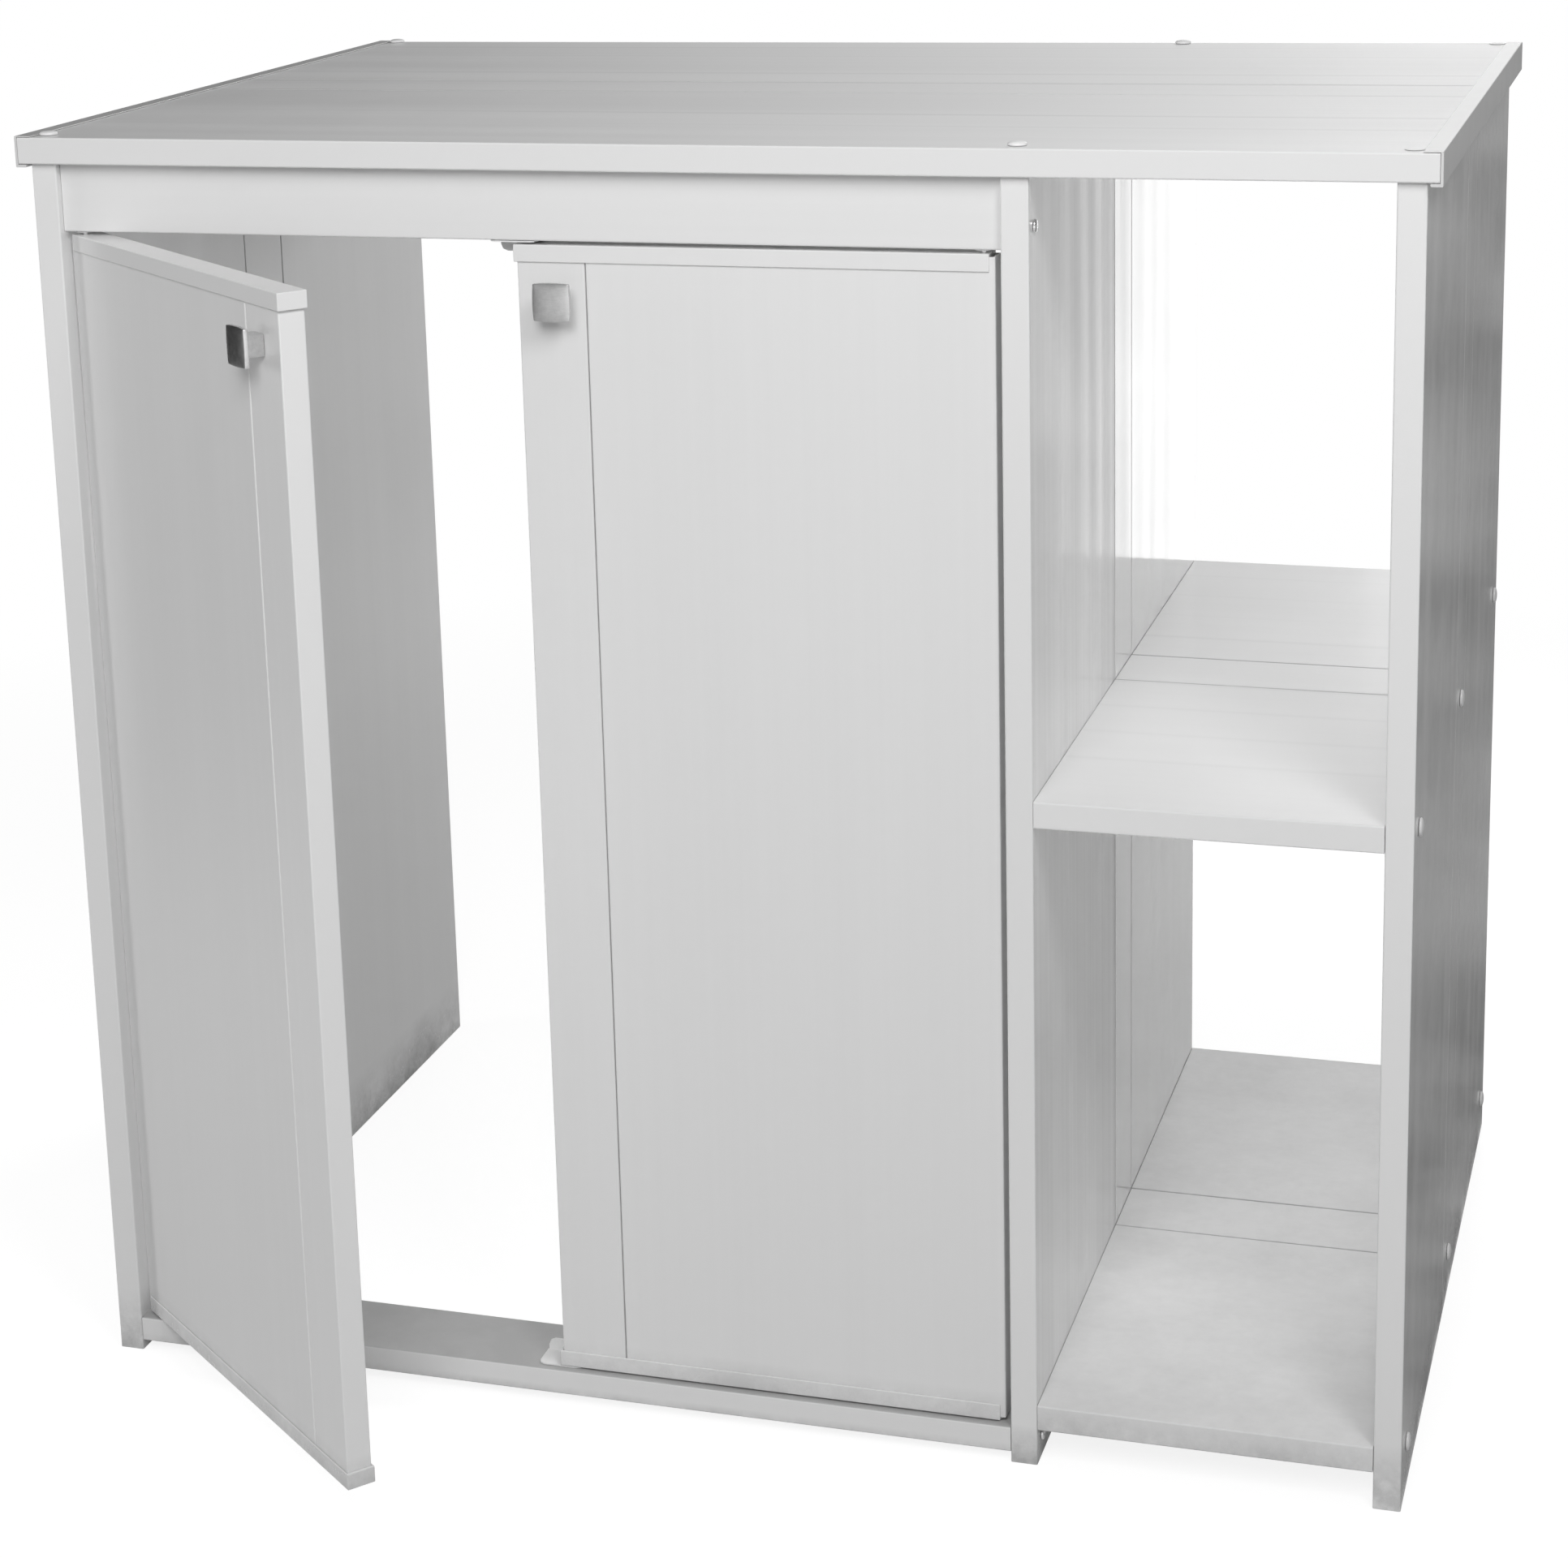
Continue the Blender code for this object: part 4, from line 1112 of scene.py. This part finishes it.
# %% Spin the caps of the bay
bay_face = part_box("divider_front_plank")[0].x
for shelf in ("middle_shelf", "bottom_shelf"):
    for row in PLANK_ROWS:
        seat = head_place(f"{shelf}_{row}_screw", 0, 1, DOME_HEIGHT)[0]
        seat.x = bay_face
        shape = lathed(dome_profile() + [(0, 0)])
        place = seat_matrix(seat, (-1, 0, 0))
        finished(f"bay_{shelf}_{row}_dome", shape, cap_finish, "cabinet", place)
print("six caps on the divider, inside the bay")

# %% [markdown]
# ## The studio's light from all sides
# The photograph is cut out on white, but the cabinet's skin still mirrors its studio: bright
# behind, dark to the left, and grey to the right. The top and the divider are seen at such
# flat angles that this matters more than the lamps. One group holds the studio's brightness
# by direction, once as light and once as it is mirrored, and the air and the floor share it.
# A colour ramp stores the mirrored level behind the cabinet, from its left to its right. In
# front, the level changes across and upwards, each between two places and two levels.

# %% Build the studio levels group
AIR_LEVEL = 0.38
AIR_SIDES = 0.5
AIR_OVERHEAD = 0.55
AIR_FADE = (0.3, 0.9)
AHEAD_ACROSS = (-0.9, 0.1, 0.2, 1.25)
AHEAD_UPWARDS = (0.02, 0.25, 0.96, 0.45)
TO_BACK = (-0.2, 0.1)
BEHIND_SCALE = 2.0
BEHIND = (
    (-0.42, 0.02), (-0.30, 0.34), (-0.22, 0.55), (-0.08, 1.25), (0.05, 1.30), (0.20, 0.75),
    (0.45, 0.75), (0.90, 0.25),
)


def studio_levels():
    tree, given, output = new_group("studio levels", "Direction", {}, ("Light", "Mirrored"))
    split = add_node(tree, "SeparateXYZ", {0: given["Direction"]}).outputs
    aside = add_math(tree, "ABSOLUTE", split["X"])
    light = rescaled(tree, aside, *AIR_FADE, AIR_LEVEL, AIR_LEVEL * AIR_SIDES)
    overhead = rescaled(tree, split["Z"], *AIR_FADE, 1.0, AIR_OVERHEAD)
    light = times(tree, light, overhead)
    ahead = rescaled(tree, split["X"], *AHEAD_ACROSS)
    ahead = times(tree, ahead, rescaled(tree, split["Z"], *AHEAD_UPWARDS))
    ramp = add_node(tree, "ValToRGB", {0: rescaled(tree, split["X"], -1.0, 1.0)})
    stops = ramp.color_ramp.elements
    while len(stops) < len(BEHIND):
        stops.new(0.5)
    for stop, (sideways, level) in zip(stops, BEHIND):
        stop.position = (sideways + 1) / 2
        stop.color = (level / BEHIND_SCALE,) * 3 + (1,)
    behind = times(tree, ramp.outputs["Color"], BEHIND_SCALE)
    to_back = rescaled(tree, split["Y"], *TO_BACK)
    mirrored = add_node(tree, "Mix", {0: to_back, 2: ahead, 3: behind}, data_type="FLOAT")
    feed(tree, output, {"Light": light, "Mirrored": mirrored.outputs[0]})
    return tree


STUDIO_LEVELS = studio_levels()
print(STUDIO_LEVELS.name, "has", len(STUDIO_LEVELS.nodes), "nodes")

# %% [markdown]
# ## The air and the floor
# Seen by the camera the air is white all over, by Light Path, so no extra light falls on the
# cabinet. The round floor is a real surface near the cabinet, where it keeps the soft shadow,
# and blends into plain white further out. In reflections it is a darker floor, as it was in
# the photograph, and takes the studio's level where it ends.

# %% Make the air and the floor
FLOOR_RADIUS = 3.2
FLOOR_SIDES = 96
FLOOR_DROP = 0.0003
FLOOR_NEAR = 1.3
FLOOR_FAR = 2.2
FLOOR_GREY = 0.5
FLOOR_SEEN = (0.85, 0.25)
FLOOR_MIRRORED = (0.28, 0.45)
FLOOR_FAR_MIRRORED = 0.75


def ray_kinds(tree):
    """Masks for what the camera sees, and for what shiny and clear surfaces show."""
    path = add_node(tree, "LightPath").outputs
    shown = add_math(tree, "MAXIMUM", path["Is Glossy Ray"], path["Is Transmission Ray"])
    return path["Is Camera Ray"], shown


def glow(tree, strength):
    return add_node(tree, "Emission", {"Color": (1, 1, 1, 1), "Strength": strength}).outputs[0]


def mixed_shader(tree, factor, first, second):
    values = {0: factor, 1: first, 2: second}
    return add_node(tree, "MixShader", values).outputs[0]


def matte(tree, level):
    return add_node(tree, "BsdfDiffuse", {"Color": (level, level, level, 1)}).outputs[0]


def glowing_matte(tree, strength, level):
    """A matte surface that also gives off some light."""
    values = {0: matte(tree, level), 1: glow(tree, strength)}
    return add_node(tree, "AddShader", values).outputs[0]


def studio_air():
    world = bpy.data.worlds.new("studio air")
    world.use_nodes = True
    tree = world.node_tree
    tree.nodes.clear()
    direction = add_node(tree, "TexCoord").outputs["Generated"]
    levels = group_node(tree, STUDIO_LEVELS, {"Direction": direction})
    camera_ray, shown = ray_kinds(tree)
    values = {0: shown, 2: levels["Light"], 3: levels["Mirrored"]}
    strength = add_node(tree, "Mix", values, data_type="FLOAT").outputs[0]
    strength = add_math(tree, "MAXIMUM", strength, camera_ray)
    air = add_node(tree, "Background", {"Color": (1, 1, 1, 1), "Strength": strength})
    add_node(tree, "OutputWorld", {"Surface": air.outputs[0]})
    bpy.context.scene.world = world


def pale_floor():
    material, tree = empty_material("pale floor")
    place = add_node(tree, "TexCoord").outputs["Object"]
    reach = add_node(tree, "VectorMath", {0: place}, operation="LENGTH").outputs["Value"]
    far = rescaled(tree, reach, FLOOR_NEAR, FLOOR_FAR)
    direction = add_node(tree, "VectorMath", {0: place}, operation="NORMALIZE").outputs[0]
    level = group_node(tree, STUDIO_LEVELS, {"Direction": direction})["Mirrored"]
    level = times(tree, level, FLOOR_FAR_MIRRORED)
    camera_ray, shown = ray_kinds(tree)
    seen = mixed_shader(tree, far, glowing_matte(tree, *FLOOR_SEEN), glow(tree, 1.0))
    mirrored = mixed_shader(tree, far, glowing_matte(tree, *FLOOR_MIRRORED), glow(tree, level))
    unseen = mixed_shader(tree, shown, matte(tree, FLOOR_GREY), mirrored)
    surface = mixed_shader(tree, camera_ray, unseen, seen)
    add_node(tree, "OutputMaterial", {"Surface": surface})
    shape = bmesh.new()
    bmesh.ops.create_circle(shape, cap_ends=True, segments=FLOOR_SIDES, radius=FLOOR_RADIUS)
    bmesh.ops.translate(shape, vec=(0, 0, -FLOOR_DROP), verts=shape.verts)
    as_object("floor", shape, material)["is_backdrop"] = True


studio_air()
pale_floor()
print("floor", 2 * FLOOR_RADIUS, "m across")

# %% [markdown]
# ## Two cards for the reflections
# The outer face of the right side is seen almost edge-on, so it is nearly a mirror, and in the
# photograph it mirrors something dark and uneven. A dark card takes its place behind the right
# corner, folded forward just above the floor. The divider's rear planks mirror a bright window
# instead, so a bright card stands behind the open column, just where only those planks can
# catch it. Both are hidden from the camera, and neither one lights or shades the cabinet.

# %% Stand the cards
DARK_CARD = {"left": 0.489, "right": 1.405, "back": 0.62, "low": 0.002}
DARK_FOLDS = ((0, 0, 1.0), (0, -1.1, 0))
DARK_LEVELS = (0.22, 0.43)
DARK_CLOUDS = (0.4, 1.4)
BRIGHT_CARD = {"left": 0.26, "right": 0.506, "back": 1.5, "low": 0.10}
BRIGHT_FOLDS = ((0, 0, 0.85),)
BRIGHT_LEVELS = (1.7, 1.7)
BRIGHT_CLOUDS = (0.95, 1.05)
CARD_CLOUD = (5.0, 3.0, 0.55)


def mirror_card(name, shape, levels, clouds):
    """A card that only reflections show; its level runs from the floor to one metre."""
    material, tree = empty_material(name.replace("_", " "))
    place = add_node(tree, "TexCoord").outputs["Object"]
    height = add_node(tree, "SeparateXYZ", {0: place}).outputs["Z"]
    cloud = noise(tree, place, *CARD_CLOUD)
    level = rescaled(tree, height, 0.0, 1.0, *levels)
    level = times(tree, level, rescaled(tree, cloud, *NOISE_SPAN, *clouds))
    add_node(tree, "OutputMaterial", {"Surface": glow(tree, level)})
    card = as_object(name, shape, material)
    card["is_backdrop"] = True
    card.visible_camera = False
    card.visible_diffuse = False
    card.visible_transmission = False
    card.visible_shadow = False


def bent_sheet(card, *folds):
    """A sheet from the card's lower back edge along X, extruded once by each vector."""
    shape = bmesh.new()
    ends = [shape.verts.new((card[side], card["back"], card["low"])) for side in ("left", "right")]
    bend = shape.edges.new(ends)
    for fold in folds:
        moved = verts_of(bmesh.ops.extrude_edge_only(shape, edges=[bend])["geom"])
        bmesh.ops.translate(shape, vec=fold, verts=moved)
    return shape


mirror_card("dark_card", bent_sheet(DARK_CARD, *DARK_FOLDS), DARK_LEVELS, DARK_CLOUDS)
bright_sheet = bent_sheet(BRIGHT_CARD, *BRIGHT_FOLDS)
mirror_card("bright_card", bright_sheet, BRIGHT_LEVELS, BRIGHT_CLOUDS)
print("cards for the reflections: dark and bright")

# %% [markdown]
# ## The lamps
# The shadow of each knob falls straight back and a little down, so the main lamp is in front
# and above. It is near enough for its light to fall off towards the floor. A second one high
# at the right makes the right half and the top brighter there, as in the photograph. A weak
# one behind stands in for a window and fills the shelves, and another lifts the open door.
# Only the one at the right gives highlights; shiny rays don't see the others.

# %% Hang the lamps
LAMPS = {
    "key": ((0.3, -2.5, 2.2), (0.0, 0.0, 0.65), 1.3, 35.0),
    "side": ((1.3, -1.6, 2.5), (0.3, -0.1, 0.7), 0.8, 20.0),
    "left fill": ((-2.4, -0.6, 0.9), (-0.3, -0.3, 0.5), 0.8, 9.0),
    "window": ((0.4, 1.7, 1.35), (0.3, 0.2, 0.6), 0.5, 15.0),
}


def lamp(name, place, aim, size, power):
    data = bpy.data.lights.new(name, "AREA")
    data.shape = "DISK"
    data.size = size
    data.energy = power
    light = bpy.data.objects.new(name, data)
    light.location = place
    light.rotation_euler = (Vector(aim) - light.location).to_track_quat("-Z", "Y").to_euler()
    light.visible_glossy = name == "side"
    bpy.context.scene.collection.objects.link(light)


for name, (place, aim, size, power) in LAMPS.items():
    lamp(name, place, aim, size, power)
bpy.context.scene.view_settings.view_transform = "Standard"
print("lamps:", ", ".join(LAMPS))

# %% [markdown]
# ## The size of the dressed cabinet
# The dressed cabinet has to stay inside the box of its solids. Its own box is printed, in
# millimetres.

# %% Print the size
low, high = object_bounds()
print("visual box in mm:", [round(1000 * side, 1) for side in high - low])
